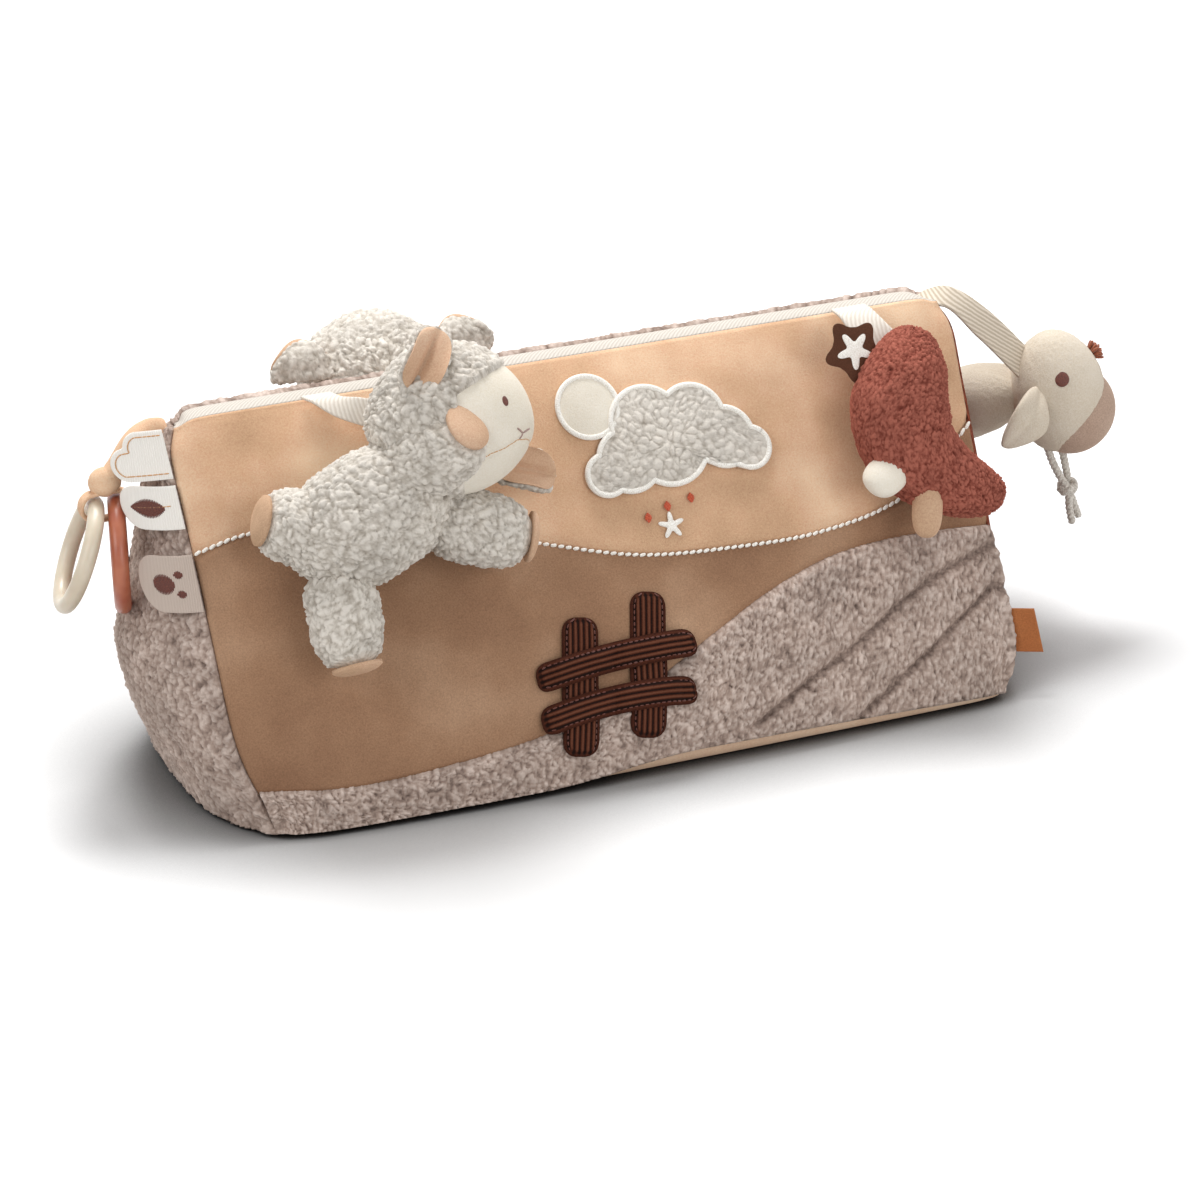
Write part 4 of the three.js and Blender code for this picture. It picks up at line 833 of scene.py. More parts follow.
def height_at(line, x):
    """Height of a drawn seam at x: cubic pieces through its points, with averaged slopes."""
    x = np.asarray(x, float)
    count = len(line)
    k = np.clip(np.searchsorted(line[:, 0], x, side="right") - 1, 0, count - 2)
    before, after = np.maximum(k - 1, 0), np.minimum(k + 2, count - 1)
    width = line[k + 1, 0] - line[k, 0]
    t = np.clip((x - line[k, 0]) / width, 0, 1)
    ma = (line[k + 1, 1] - line[before, 1]) / (line[k + 1, 0] - line[before, 0]) * width
    mb = (line[after, 1] - line[k, 1]) / (line[after, 0] - line[k, 0]) * width
    heights = (2 * t**3 - 3 * t**2 + 1) * line[k, 1] + (3 * t**2 - 2 * t**3) * line[k + 1, 1]
    return heights + (t**3 - 2 * t**2 + t) * ma + (t**3 - t**2) * mb


LOW_SEAM = SEAM_RISE * SLOPE_LENGTH / HEIGHT


def share_up(s):
    """From millimetres up the front slope to the face's own v."""
    return (s - LOW_SEAM) / (SLOPE_LENGTH - LOW_SEAM)


def drawn(line):
    """A drawn seam as a function: the face's own v at share u along the front."""
    return lambda u: share_up(height_at(line, (u - 0.5) * LENGTH))


def on_front(x, s, lift=0.0):
    """A place on the front slope, from x along it and s up it, in mm, raised by lift."""
    v = share_up(np.asarray(s, float))
    left = -LENGTH / 2 + LEFT_LEAN * (1 - v)
    u = (np.asarray(x, float) - left) / (LENGTH / 2 - left)
    return face_point("front", u, v, lift)


print("the hill's seam lies", height_at(HILL_EDGE, [-200, 0, 200]).round(), "mm up the slope")

# %% [markdown]
# ## Sewn panels
# Cloth over filling is never flat: it rounds into its seams, puckers beside the stitches and
# keeps broad soft dents. All of it is real height on a fine grid. The long fleece gets its
# locks on top, stretched downhill the way its nap is brushed.

# %% One panel
SKIN, GAP, PILE = 3.0, 0.2, 3.0
SLOPE_NAP, END_NAP = (0.9, -0.2, -0.35), (0.1, -0.6, -0.8)


def panel(
    name, face, low, high, spacing, seed, sewn=(False, False), dents=1.0,
    locks_size=0.0, furrow=None, hem=None, nap=SLOPE_NAP,
):
    """One panel between two curves v = low(u) and v = high(u), as a closed skin SKIN thick.
    lift = dents + puckers - seam dip + pile, each faded by its distance to the seams. sewn says
    which of the two curves is a seam inside a face. Fleece bulges 1.5 mm over the side seams."""
    middle = seam_point(face, np.array([0.0, 1.0, 0.5, 0.5]), np.array([0.5, 0.5, 0.0, 1.0]))
    wide = np.linalg.norm(middle[1] - middle[0])
    tall = np.linalg.norm(middle[3] - middle[2])
    step = spacing * FINE
    columns = np.linspace(0, 1, int(wide / step) + 1)
    share = float(np.mean(high(columns) - low(columns)))
    rows = np.linspace(0, 1, max(6, int(tall * share / step)) + 1)
    u, w = np.meshgrid(columns, rows, indexing="ij")
    bottom, top = low(u), high(u)
    v = bottom + (top - bottom) * w
    to_sides = np.minimum(u, 1 - u) * wide
    to_low, to_high = w * (top - bottom) * tall, (1 - w) * (top - bottom) * tall
    near = np.minimum(np.minimum(to_sides, to_low), to_high)
    plain = face_point(face, u, v)
    free = rise(near, 2, 30)
    lift = dents * free * (1.3 * waves(plain, 62, seed) + 0.6 * waves(plain, 27, seed + 1))
    folds = waves(plain * [1, 1, 0.4], 8.5, seed + 2) + 0.5 * waves(plain, 5, seed + 3)
    lift += dents * 0.45 * folds * np.exp(-near / 11) * rise(near, 0, 3)
    for inside, distance in zip(sewn, (to_low, to_high)):
        if inside:
            lift -= 1.1 * (1 - rise(distance, 0, 4.5))
    outer_near = np.minimum(to_sides, np.minimum(to_low + 99 * sewn[0], to_high + 99 * sewn[1]))
    dip = 0.4 * (1 - rise(outer_near, 0, 6))
    tuft = None
    if face == "left":
        belly = 13 * (1 - v) ** 2 * (1 - (1 - v) ** 7) + 10 * np.exp(-((v - 0.36) / 0.17) ** 2)
        lift += dome(u, 2) * belly
    if locks_size:
        free = near if hem is None else np.where(to_low == near, near + 5 * hem(plain), near)
        full = 0.55 + 0.45 * quarter((free + 0.5) / 5.0)
        pressed = 1.0 if furrow is None else 1 - furrow(u, w, v)
        tuft = 0.5 * locks(plain * [1, 1, 0.7], locks_size, seed, 1.1, 0.6)
        tuft += 0.5 * combed(plain, locks_size * 0.62, nap, seed + 5)
        lift += full * pressed * (PILE - 1.9 + 3.6 * tuft + 0.6 * waves(plain, 11, seed + 8))
        # The tuft, lowered in the furrows, is what the shader turns into painted shade in the partings and
        # the furrows.
        tuft = np.clip((tuft - 0.2) * 1.25 * (0.35 + 0.65 * pressed), 0, 1)
        dip = -1.5 * (1 - rise(to_sides, 0, 5)) * (0.7 + 0.4 * tuft)
        dip *= rise(to_low, 0, 12) * rise(to_high, 0, 12)
        dip *= 1 - 0.6 * rise(v, 0.3, 0.5) * (face == "left")
        lift *= 1 - (1 - quarter(to_sides / 6)) * (1 - rise(to_low, 2, 14))
    inward = seam_point(face, u, v, 1.0) - seam_point(face, u, v)
    if locks_size:
        inward[..., 2] *= rise(to_low, 0, 12)
    outer = plain + lift[..., None] * PLANES[face][0] + (dip + GAP)[..., None] * inward
    if hem is not None:
        drop = (0.8 * seam_point(face, u, 0 * v)[..., 2] - 0.5) * hem(plain) * np.exp(-(to_low / 9) ** 2)
        outer[..., 2] -= drop * (0.45 + 0.55 * rise(to_sides, 0, 14))
    inner = face_point(face, u, v, inset=SKIN)
    return closed_sheet(name, soften(outer), soften(inner), tuft)


# %% Furrows and hems of the panels
def furrow_share(u, w, v):
    """Sewn furrows press the fleece down: 1.25 exp(-(distance / 2.3)^2), from each one's start."""
    x = (u - 0.5) * LENGTH
    s = LOW_SEAM + v * (SLOPE_LENGTH - LOW_SEAM)
    total = 0.0
    for line in FURROWS:
        inside = rise(x, line[0, 0] - 8, line[0, 0] + 8)
        total = total + 1.25 * inside * np.exp(-((s - height_at(line, x)) / 2.3) ** 2)
    return np.minimum(total, 1.25)


def hem_left(p):
    """The fleece hangs over the lower seam at the left, and fades to the seam further right."""
    return 1 - rise(p[..., 0], -60, 30)


def hem_all(p):
    """The fleece hangs over the lower seam all the way."""
    return np.ones_like(p[..., 0])


# %% The eight panels
VELOUR_STEP, FLEECE_STEP = 2.0, 0.95
# Curves across a face: its lower seam, v = 0, its upper seam, v = 1, and the drawn ones.
LOW, HIGH, hill, horizon = np.zeros_like, np.ones_like, drawn(HILL_EDGE), drawn(HORIZON)
WHOLE = (LOW, HIGH)
PANELS = {
    "front_sky_panel": (
        ("upper_velour_panel", "front", horizon, HIGH, VELOUR_STEP, 11), tan_velour, "tan_velour",
        {"sewn": (True, False)},
    ),
    "front_field_panel": (
        ("middle_velour_panel", "front", hill, horizon, VELOUR_STEP, 21), shaded_field_velour, "tan_velour",
        {"sewn": (True, True)},
    ),
    "front_hill_fleece": (
        ("hill_fleece_panel", "front", LOW, hill, FLEECE_STEP, 31), taupe_fleece, "taupe_fleece",
        {"sewn": (False, True), "locks_size": 3.9, "furrow": furrow_share, "hem": hem_left},
    ),
    "back_panel": (
        ("back_fleece_panel", "back", *WHOLE, FLEECE_STEP * 1.5, 41), taupe_fleece, "taupe_fleece",
        {"locks_size": 4.6, "hem": hem_all},
    ),
    "left_end_panel": (
        ("left_fleece_panel", "left", *WHOLE, FLEECE_STEP, 51), taupe_fleece, "taupe_fleece",
        {"locks_size": 4.3, "hem": hem_all, "nap": END_NAP},
    ),
    "right_end_panel": (
        ("right_corduroy_panel", "right", *WHOLE, VELOUR_STEP, 61), rust_corduroy, "rust_corduroy", {},
    ),
    "ridge_gusset": (
        ("ridge_twill_strip", "ridge", *WHOLE, 1.6, 71), cream_twill, "cream_twill", {"dents": 0.5},
    ),
    "base_panel": (
        ("underside_velour", "base", *WHOLE, 2.2, 81), base_velour, "tan_velour", {"dents": 0.0},
    ),
}
for node, (form, material, slot, extras) in PANELS.items():
    thing = dress(panel(*form, **extras), material, "cushion", slot, node, fill=0.85)
    print(thing.name, len(thing.data.polygons), "faces")

# %% [markdown]
# The filling is polyester fibre, blown in through a gap in a seam. It never shows, but the
# cushion isn't hollow, so it is one form 8 mm inside the cloth. To the eye it would be white
# and cottony.

# %% Filling
def filling():
    """The fibre inside: rings along the cushion, through its four long faces, 8 mm in."""
    u = np.linspace(0.04, 0.96, 30)[:, None]
    v = np.linspace(0, 1, 24, endpoint=False)[None, :]
    u, v = u + 0 * v, v + 0 * u
    sides = [face_point("front", u, v, inset=8), face_point("ridge", u, v, inset=8)]
    sides += [face_point("back", 1 - u, 1 - v, inset=8), face_point("base", u, v, inset=8)]
    rings = soften(np.concatenate(sides, axis=1))
    poles = rings[[0, -1]].mean(1)
    fibre = closed_form("fibre_filling", rings, poles)
    return dress(fibre, white_fibre, "cushion", "polyester_filling", "stuffing_core", fill=0.85)


white_fibre = thread("white_fibre_filling", "#E4E0D8", "#F7F5F0", 3.0)
print(filling().name, "is made")

# %% [markdown]
# ## Thread and small shapes
# Embroidery is short raised stitches. Many stitches make one piece, each a small round bar.
# A sewn patch is a disc whose outline is a polar formula; a torus makes rings and hoops.

# %% Stitches
def around(count):
    """Angles of count even steps round a full turn."""
    return 2 * np.pi * np.arange(count) / count


def bars(name, a, b, up, radius, flat=0.8, sides=6):
    """Round bars from each a to each b. At share t the radius is r * (1 - |2t - 1|^4)^(1/2)."""
    a, b, up = (np.asarray(v, float) for v in (a, b, up))
    t = np.array([0.03, 0.18, 0.5, 0.82, 0.97])
    forward = unit(b - a)
    side = unit(np.cross(up, forward))
    lift = np.cross(forward, side)
    angle = around(sides)
    size = (radius * np.sqrt(1 - np.abs(2 * t - 1) ** 4))[None, :, None, None]
    turn = side[:, None, None] * np.cos(angle)[:, None]
    turn = turn + lift[:, None, None] * np.sin(angle)[:, None] * flat
    rings = a[:, None, None] + (b - a)[:, None, None] * t[:, None, None] + size * turn
    points = np.concatenate([rings.reshape(len(a), -1, 3), a[:, None], b[:, None]], axis=1)
    quads, tris = ring_faces(len(t), sides)
    first = (np.arange(len(a)) * points.shape[1])[:, None, None]
    quads, tris = (quads + first).reshape(-1, 4), (tris + first).reshape(-1, 3)
    return new_mesh(name, points.reshape(-1, 3), quads, tris)


# %% Discs
DISC_LAYERS = (0.12, 0.3, 0.5, 0.68, 0.82, 0.92, 0.98)


def disc_rings(outline, thickness, place, sides=96, layers=DISC_LAYERS, base=0.2):
    """Rings of a padded patch: out over its domed top, then back under. outline(angle) is its
    reach, and the top's height at share k of the reach is thickness * (0.4 + 0.6 (1 - k^4))."""
    angle = around(sides)
    k = np.array([*layers, 1.0, 1.0, 0.5])[:, None]
    height = base + thickness * (0.4 + 0.6 * (1 - k ** 4))
    height[-2:] = base
    x, y = k * outline(angle) * np.cos(angle), k * outline(angle) * np.sin(angle)
    rings = place(x, y, height + 0 * x)
    zero = np.zeros(1)
    poles = np.concatenate([place(zero, zero, zero + base + thickness), place(zero, zero, zero + base)])
    return rings, poles


# %% Hoops
def along(line):
    """Unit directions of a closed line, from each point's two neighbours."""
    return unit(np.roll(line, -1, axis=0) - np.roll(line, 1, axis=0))


def looped(name, rings):
    """A grid of points closed both ways, like a torus."""
    count, sides = rings.shape[:2]
    a = np.arange(count * sides).reshape(count, sides)
    b = np.roll(a, -1, axis=1)
    quads = np.stack([a, b, np.roll(b, -1, axis=0), np.roll(a, -1, axis=0)], -1)
    return new_mesh(name, rings.reshape(-1, 3), quads.reshape(-1, 4))


def hoop_rings(line, up, wide, tall, sides=10, ridges=0.1):
    """A tube round a closed line: wide across, tall along up, with ridges of thread across it."""
    across = unit(np.cross(along(line), up))
    c, s = wide * np.cos(around(sides)), tall * np.sin(around(sides))
    swell = 1 + ridges * (np.arange(len(line)) % 2)[:, None, None]
    section = across[:, None] * c[:, None] + (up * np.ones_like(line))[:, None] * s[:, None]
    return line[:, None] + swell * section


# %% [markdown]
# The seam between sky and field is topped by a line of thick cream stitches, like a path. A
# sewing machine lays them one after another, so one formula places them all.

# %% Stitches along the horizon
PITCH, STITCH = 4.0, 3.5


def seam_stitches():
    """A thick stitch every 4 mm along the horizon seam, each rising 0.5 mm across it."""
    x = np.arange(-221, 220, PITCH)
    a = on_front(x, height_at(HORIZON, x) - 0.5, 0.15)
    b = on_front(x + STITCH, height_at(HORIZON, x + STITCH) + 0.5, 0.15)
    up = np.broadcast_to(PLANES["front"][0], a.shape)
    dress(bars("horizon_stitches", a, b, up, 0.95), white_thread, "cushion", "cream_twill")
    return len(x)


print(seam_stitches(), "stitches along the horizon seam")

# %% [markdown]
# ## Fence
# Four strips of wide-ribbed corduroy, their edges turned under and stitched down, the two rails
# over the two uprights. The ribs run along each strip, which is how such strips are cut.

# %% The fence's four strips
FENCE_THICKNESS, UPRIGHT_WIDTH, RAIL_WIDTH = 2.6, 20.0, 15.5
# Each strip's two ends on the slope, its width and how far it arches, in mm.
FENCE = {
    "fence_upright_left": ((-38, 13), (-25, 86), UPRIGHT_WIDTH, 0.0),
    "fence_upright_right": ((0.5, 16), (15, 93), UPRIGHT_WIDTH, 0.0),
    "fence_rail_top": ((-54.5, 57), (36, 62), RAIL_WIDTH, 2.5),
    "fence_rail_bottom": ((-56, 34), (31.5, 36.5), RAIL_WIDTH, 4.0),
}


def hill_lift(x, s):
    """Height of the fleece under a place: PILE on the hill, fading out over 19 mm above it."""
    edge = height_at(HILL_EDGE, x)
    return PILE * (1 - rise(s, edge - 1, edge + 18))


def upright_lift(x, s):
    """Height of the uprights under a place, fading out from 3 to 10 mm beside them."""
    height = 0.0
    for name in ("fence_upright_left", "fence_upright_right"):
        (x0, s0), (x1, s1), width, _ = FENCE[name]
        middle = x0 + (x1 - x0) * (s - s0) / (s1 - s0)
        away = np.abs(x - middle) - width / 2
        height = np.maximum(height, (FENCE_THICKNESS + 0.4) * (1 - rise(away, 3, 10)))
    return height


def strip_axis(name):
    """A strip's start, its unit direction and its length."""
    a, b = np.array(FENCE[name][:2], float)
    length = np.linalg.norm(b - a)
    return a, (b - a) / length, length


def half_width(name, d):
    """Half of a strip's width at distance d along it: r * (1 - (1 - d/r)^2.6)^(1/2.6) near an
    end, which rounds its corners."""
    r, length = FENCE[name][2] / 2, strip_axis(name)[2]
    inset = np.maximum(0, r - np.minimum(d, length - d)) / r
    return r * (1 - inset ** 2.6) ** (1 / 2.6)


def on_strip(name, d, off):
    """x, s and the ground's height at d along a strip and off it, bent by arch * 4t(1 - t)."""
    a, forward, length = strip_axis(name)
    out = off + FENCE[name][3] * 4 * (d / length) * (1 - d / length)
    x = a[0] + forward[0] * d - forward[1] * out
    s = a[1] + forward[1] * d + forward[0] * out
    return x, s, 0.2 + hill_lift(x, s) + (upright_lift(x, s) if "rail" in name else 0)


# %% Strips of corduroy
WALE = 3.1


def fence_strip(name):
    """Height = thickness * (0.45 + an edge's rise) + ribs, less a groove along the stitching.
    Ribs run along the strip: 0.5 + 0.5 cos(2 pi off / WALE + a little noise)."""
    width, length = FENCE[name][2], strip_axis(name)[2]
    radius = width / 2
    ends = radius * (1 - np.cos(np.linspace(0.1, 1, 12) * np.pi / 2))
    middle = np.linspace(radius, length - radius, int((length - width) / FINE) + 2)[1:-1]
    d = np.concatenate([ends, middle, length - ends[::-1]])[:, None]
    w = np.sin(np.linspace(-1, 1, int(width / (0.42 * FINE)) | 1) * np.pi / 2)[None, :]
    half = half_width(name, d)
    off = w * half
    x, s, ground = on_strip(name, d, off)
    spot = np.stack([x, s, 0 * x], -1)
    to_edge = np.minimum(half - np.abs(off), np.minimum(d, length - d) + 0 * off)
    tuft = 0.5 + 0.5 * np.cos(2 * np.pi * off / WALE + 0.25 * waves(spot, 9, 5))
    inside = rise(to_edge, 0.4, 2.6)
    groove = np.exp(-((to_edge - 2.3) / 0.7) ** 2)
    top = FENCE_THICKNESS * (0.45 + 0.55 * rise(to_edge, 0, 3.5)) - 0.6 * groove
    top = top + inside * (0.75 * tuft + 0.35 * waves(spot, 14, 3))
    # Colour, passed as the tuft: painted shade between the ribs, along the stitching groove and at the
    # turned-under edges.
    shade = np.clip(tuft * inside + 0.35 * (1 - inside) - 0.5 * groove, 0, 1)
    outer, inner = on_front(x, s, ground + top), on_front(x, s, ground)
    strip = closed_sheet("corduroy_" + name, outer, inner, shade)
    return dress(strip, brown_corduroy, "cushion", "brown_corduroy", name, fill=0.5)


def edge_stitches(name, inset=2.2, stitch=2.2):
    """Two rows of stitches, each inset from an edge of the strip, one every 3.2 mm."""
    length = strip_axis(name)[2]
    run = np.linspace(0.04, 0.96, int(length / 3.2)) * length
    ends = []
    for d in (run, run + stitch):
        x, s, ground = on_strip(name, np.tile(d, 2), np.outer([-1, 1], half_width(name, d) - inset).ravel())
        ends.append(on_front(x, s, ground + 1.9))
    up = np.broadcast_to(PLANES["front"][0], ends[0].shape)
    seam = bars("thread_" + name, *ends, up, 0.42)
    return dress(seam, brown_thread, "cushion", "brown_corduroy")


for name in FENCE:
    print(fence_strip(name).name, "and", edge_stitches(name).name)

# %% [markdown]
# ## Sewn pictures
# A wool cloud, a velour moon behind it and a small star, each edged with a satin stitch: close
# threads laid across the raw edge. Small drops under the cloud are plain embroidery.

# %% Outlines of the pictures
CLOUD_AT, MOON_AT, STAR_AT = (44, 168), (4, 196), (36, 125.5)
# Each lobe of the cloud: its middle and its radius, in mm.
CLOUD_LOBES = [
    (0, 0, 21), (-24, -4, 17), (-38, -10, 11), (-10, 14, 20), (16, 13, 18), (32, 0, 16), (45, -8, 11),
]


def lobed(circles):
    """Reach of a union of circles at each angle: the farthest edge that the ray crosses."""
    def reach(angle):
        best = np.full_like(angle, 4.0)
        for cx, cy, r in circles:
            along = cx * np.cos(angle) + cy * np.sin(angle)
            across = cx * np.sin(angle) - cy * np.cos(angle)
            half = r * r - across ** 2
            best = np.maximum(best, np.where(half > 0, along + np.sqrt(np.maximum(half, 0)), 0))
        return best
    return reach


def round_outline(radius):
    """The same reach at every angle."""
    return lambda angle: np.full_like(angle, radius)


def star_outline(outer, inner):
    """Reach inner + (outer - inner) * ((1 + cos 5a) / 2)^1.6, with a point straight up."""
    def reach(angle):
        return inner + (outer - inner) * ((1 + np.cos(5 * (angle - np.pi / 2))) / 2) ** 1.6
    return reach


def front_place(at):
    """A picture's own x and y, in mm from its middle, on the front slope."""
    return lambda x, y, lift: on_front(at[0] + x, at[1] + y, lift)


# %% Satin stitch round an outline
THREAD_PITCH = 0.55


def satin_edge(name, outline, place, lift, wide, tall, slot):
    """A raised rim of threads, one every 0.55 mm along the outline, every other one fatter."""
    rough = around(720)
    x, y = outline(rough) * np.cos(rough), outline(rough) * np.sin(rough)
    length = np.cumsum(np.hypot(np.diff(x, append=x[0]), np.diff(y, append=y[0])))
    count = int(length[-1] / (THREAD_PITCH * FINE)) // 2 * 2
    angle = np.interp(np.arange(count) * length[-1] / count, length, rough)
    x, y = outline(angle) * np.cos(angle), outline(angle) * np.sin(angle)
    line = place(x, y, np.full(count, lift))
    zero = np.zeros(1)
    up = unit(place(zero, zero, zero + 1) - place(zero, zero, zero))
    return dress(looped(name, hoop_rings(line, up, wide, tall)), white_thread, "cushion", slot)


# %% Cloud, moon, star and drops
def wool_cloud():
    """A disc of 42 rings, whose top rises by 1.5 * (locks + a quarter of small ones) - 0.4."""
    layers = tuple(np.linspace(0, 1, int(44 / FINE))[1:-1])
    rings, poles = disc_rings(CLOUD, 2.2, front_place(CLOUD_AT), sides=int(300 / FINE), layers=layers)
    tuft = locks(rings, 4.6, 7) + 0.25 * locks(rings, 2.0, 8)
    top = np.arange(len(rings))[:, None] < len(rings) - 2
    rings = rings + np.where(top, 1.5 * tuft - 0.4, 0)[..., None] * PLANES["front"][0]
    # The tuft given to the mesh sets the wool shader's painted shade in the partings of the locks.
    cloud = closed_form("wool_cloud", rings, poles, np.clip(0.3 + 0.7 * tuft, 0, 1))
    return dress(cloud, wool_plush, "cushion", "grey_wool_plush", "picture_cloud", fill=0.4)


def flat_patch(name, outline, thickness, at, sides, material, slot, node):
    """A thin padded disc on the front."""
    patch = closed_form(name, *disc_rings(outline, thickness, front_place(at), sides=sides))
    return dress(patch, material, "cushion", slot, node, fill=0.3)


def drops():
    """Three drops, each of 7 stitches whose half lengths are 2.2 sin(pi (k + 0.7) / 7.6)."""
    k = np.tile(np.arange(7), 3)
    column = np.repeat(np.arange(3), 7)
    x, s = np.array([(-20, 134), (-8, 138), (6, 140)], float)[column].T
    half = 2.2 * np.sin(np.pi * (k + 0.7) / 7.6)
    s = s - k * 0.75 + 0.4 * column
    a, b = (on_front(CLOUD_AT[0] + x + way * half, s, 0.35) for way in (-1, 1))
    drop = bars("embroidered_drops", a, b, np.broadcast_to(PLANES["front"][0], a.shape), 0.5)
    return dress(drop, orange_thread, "cushion", "cream_twill")


CLOUD = lobed(CLOUD_LOBES)
made = [
    wool_cloud(),
    satin_edge("cloud_edging", CLOUD, front_place(CLOUD_AT), 1.4, 1.5, 1.5, "grey_wool_plush"),
    flat_patch(
        "velour_moon", round_outline(18.0), 1.6, MOON_AT, 96,
        ivory_velour, "ivory_velour", "picture_moon",
    ),
    satin_edge("moon_edging", round_outline(16.8), front_place(MOON_AT), 1.3, 1.4, 0.9, "ivory_velour"),
    flat_patch(
        "embroidered_star", star_outline(7.5, 3.0), 1.1, STAR_AT, 100,
        white_thread, "cream_twill", "picture_star",
    ),
    drops(),
]
print("on the upper panel:", ", ".join(piece.name for piece in made))

# %% [markdown]
# ## Plush lambs
# Each lamb is cut from wool plush and stuffed: a body, a head and four limbs. Its face, ears
# and soles are smooth velour, so that it can be washed and kissed. Eyes and nose are stitched,
# because glued ones could come off.

# %% Places on a slope
SEAM, TOP = 10.0, 206.0
SLOPE = np.array([0, 0.41878, 0.90809])
OUTWARD = np.array([0, -0.90809, 0.41878])


class Slope:
    """Turns a toy's own places, on a sloping face, to the object's frame. x runs along the ridge
    seam, y up the slope from it and z straight out of it; the back slope is the front's, turned."""

    def __init__(self, x, rest, back=False):
        self.x, self.rest, self.back = x, rest, back

    def __call__(self, points):
        p = np.asarray(points, float)
        world = np.array([0, -SEAM, TOP]) + (p[..., :1] + self.x) * [1, 0, 0]
        world = world + p[..., 1:2] * SLOPE + (p[..., 2:3] + self.rest) * OUTWARD
        return world * [-1, -1, 1] if self.back else world

    def vector(self, direction):
        """A direction, turned in the same way."""
        return self(np.asarray(direction, float)) - self(np.zeros(3))


def rest_height(face, left, right, reach, pile=0.0):
    """Greatest height of a slope's cloth over its seam plane, under the toy, plus a clearance."""
    normal, distance = PLANES[face]
    u = np.minimum(1, np.linspace(left, right, 9) / LENGTH + 0.5)[:, None] + np.zeros(9)
    v = 1 - np.linspace(0, 1, 9)[None, :] * reach / SLOPE_LENGTH + np.zeros((9, 9))
    return float((face_point(face, u, v) @ normal - distance).max()) + pile + 1.5


# %% Pads and wool
def nearest(rings, place):
    """The point of a form that is nearest to a place, and its outward normal there."""
    away = np.linalg.norm(rings - np.asarray(place, float), axis=-1)
    spot = np.unravel_index(np.argmin(away), away.shape)
    return rings[spot], outward(rings)[spot]


def pad_on(name, centre, normal, along, a, b, thickness, sides=40):
    """An oval pad on a surface: half lengths a along and b across, domed by its thickness."""
    normal = unit(normal)
    along = unit(along - normal * (normal @ np.asarray(along, float)))
    across = np.cross(normal, along)
    axes = np.stack([along, across, normal])
    place = lambda x, y, lift: centre + np.stack([x, y, lift], -1) @ axes
    outline = lambda t: a * b / np.sqrt((b * np.cos(t)) ** 2 + (a * np.sin(t)) ** 2)
    return closed_form(name, *disc_rings(outline, thickness, place, sides=sides, base=-0.6))


WOOL_STEP = 0.8


def wool(name, rings, poles, body, *node, keep=1.0, seed=1, height=2.7):
    """Dresses a form in locks of wool, which sink in and sag by nearly half their height."""
    sink, sag = 0.45 * height, 0.4 * height
    pile = with_pile(rings, poles, seed=seed, height=height, sink=sink, keep=keep, sag=sag)
    return dress(closed_form(name, *pile), wool_plush, body, "grey_wool_plush", *node, fill=0.75)


# %% The head of a lamb
def lamb_head(label, to_world, pose, seed):
    """The wool back of the head dives under the velour face along the seam between them."""
    place, facing_way = np.array(pose["head"], float), unit(np.array(pose["facing"], float))
    across = pose["head_across"]

    def form(shrink, length=0.0):
        """The egg of the head, smaller by shrink and longer ahead by length."""
        half = 42 - shrink + length
        ends = [place - facing_way * (42 - shrink), place, place + facing_way * half]
        return stuffed([[*p, 40 - shrink, 32 - shrink] for p in ends], across, spacing=WOOL_STEP)

    rings, poles = form(0)
    crown = (rings - place) @ np.array(pose.get("crown", [0, 0, 0])) - 12
    ahead = (rings - place) @ facing_way - pose["face_start"] - 2.0 * np.maximum(crown, 0)
    keep = 1 - rise(ahead, -1.5, 3)
    centre = rings.mean(1, keepdims=True)
    rings = centre + (rings - centre) * (1 - 0.17 * rise(ahead, 0.5, 5))[..., None]
    wool(
        label + "_wool_head", to_world(rings), to_world(poles), label, label + "_head",
        keep=keep, seed=seed,
    )
    rings, poles = form(2, 2)
    route = spline(pose["mouth"], np.linspace(0, 1, 60))
    to_mouth = np.linalg.norm(rings[..., None, :] - route, axis=-1).min(-1)
    to_nose = np.linalg.norm(rings - np.array(pose["nose"], float), axis=-1)
    muzzle = 2.2 * np.exp(-(to_nose / 13) ** 2) - 1.0 * np.exp(-(to_mouth / 1.5) ** 2)
    rings = rings + outward(rings) * muzzle[..., None]
    face = closed_form(label + "_velour_face", to_world(rings), to_world(poles))
    dress(face, ivory_velour, label, "ivory_velour", label + "_face", fill=0.8)
    return to_world(rings)


# %% The limbs and ears of a lamb
def stations_of(part, sizes):
    """Stations at a part's start, middle and end, each with its half width and half depth."""
    start_at, end_at = part["from"], part["to"]
    middle = [p + (q - p) * 0.5 for p, q in zip(start_at, end_at)]
    return [[*at, *size] for at, size in zip((start_at, middle, end_at), sizes)]


def lamb_limb(label, to_world, name, limb, seed):
    """A short blunt limb with a velour sole on its end."""
    start_at, end_at = limb["from"], limb["to"]
    across = limb.get("across", [1, 0, 0])
    stations = stations_of(limb, [(18, 15.3), (18, 16.2), (16.6, 15.3)])
    rings, poles = stuffed(stations, across, roundness=3, spacing=WOOL_STEP)
    way = unit(np.subtract(end_at, start_at))
    faced = unit(way + np.array(limb.get("faced", [0, 0.03, 0.25])))
    centre, normal = nearest(rings, np.array(end_at) - way * 8 + faced * 14)
    keep = rise(np.linalg.norm(rings - centre, axis=-1), 11.5, 15)
    wool(
        f"{label}_wool_{name}", to_world(rings), to_world(poles), label, f"{label}_{name}",
        keep=keep, seed=seed,
    )
    sole = pad_on(
        f"{label}_sole_{name}", to_world(centre - faced * 0.8), to_world.vector(unit(normal + faced)),
        to_world.vector(across), 13.4, 11.8, 4.6,
    )
    dress(sole, sole_velour, label, "tan_velour", fill=0.5)


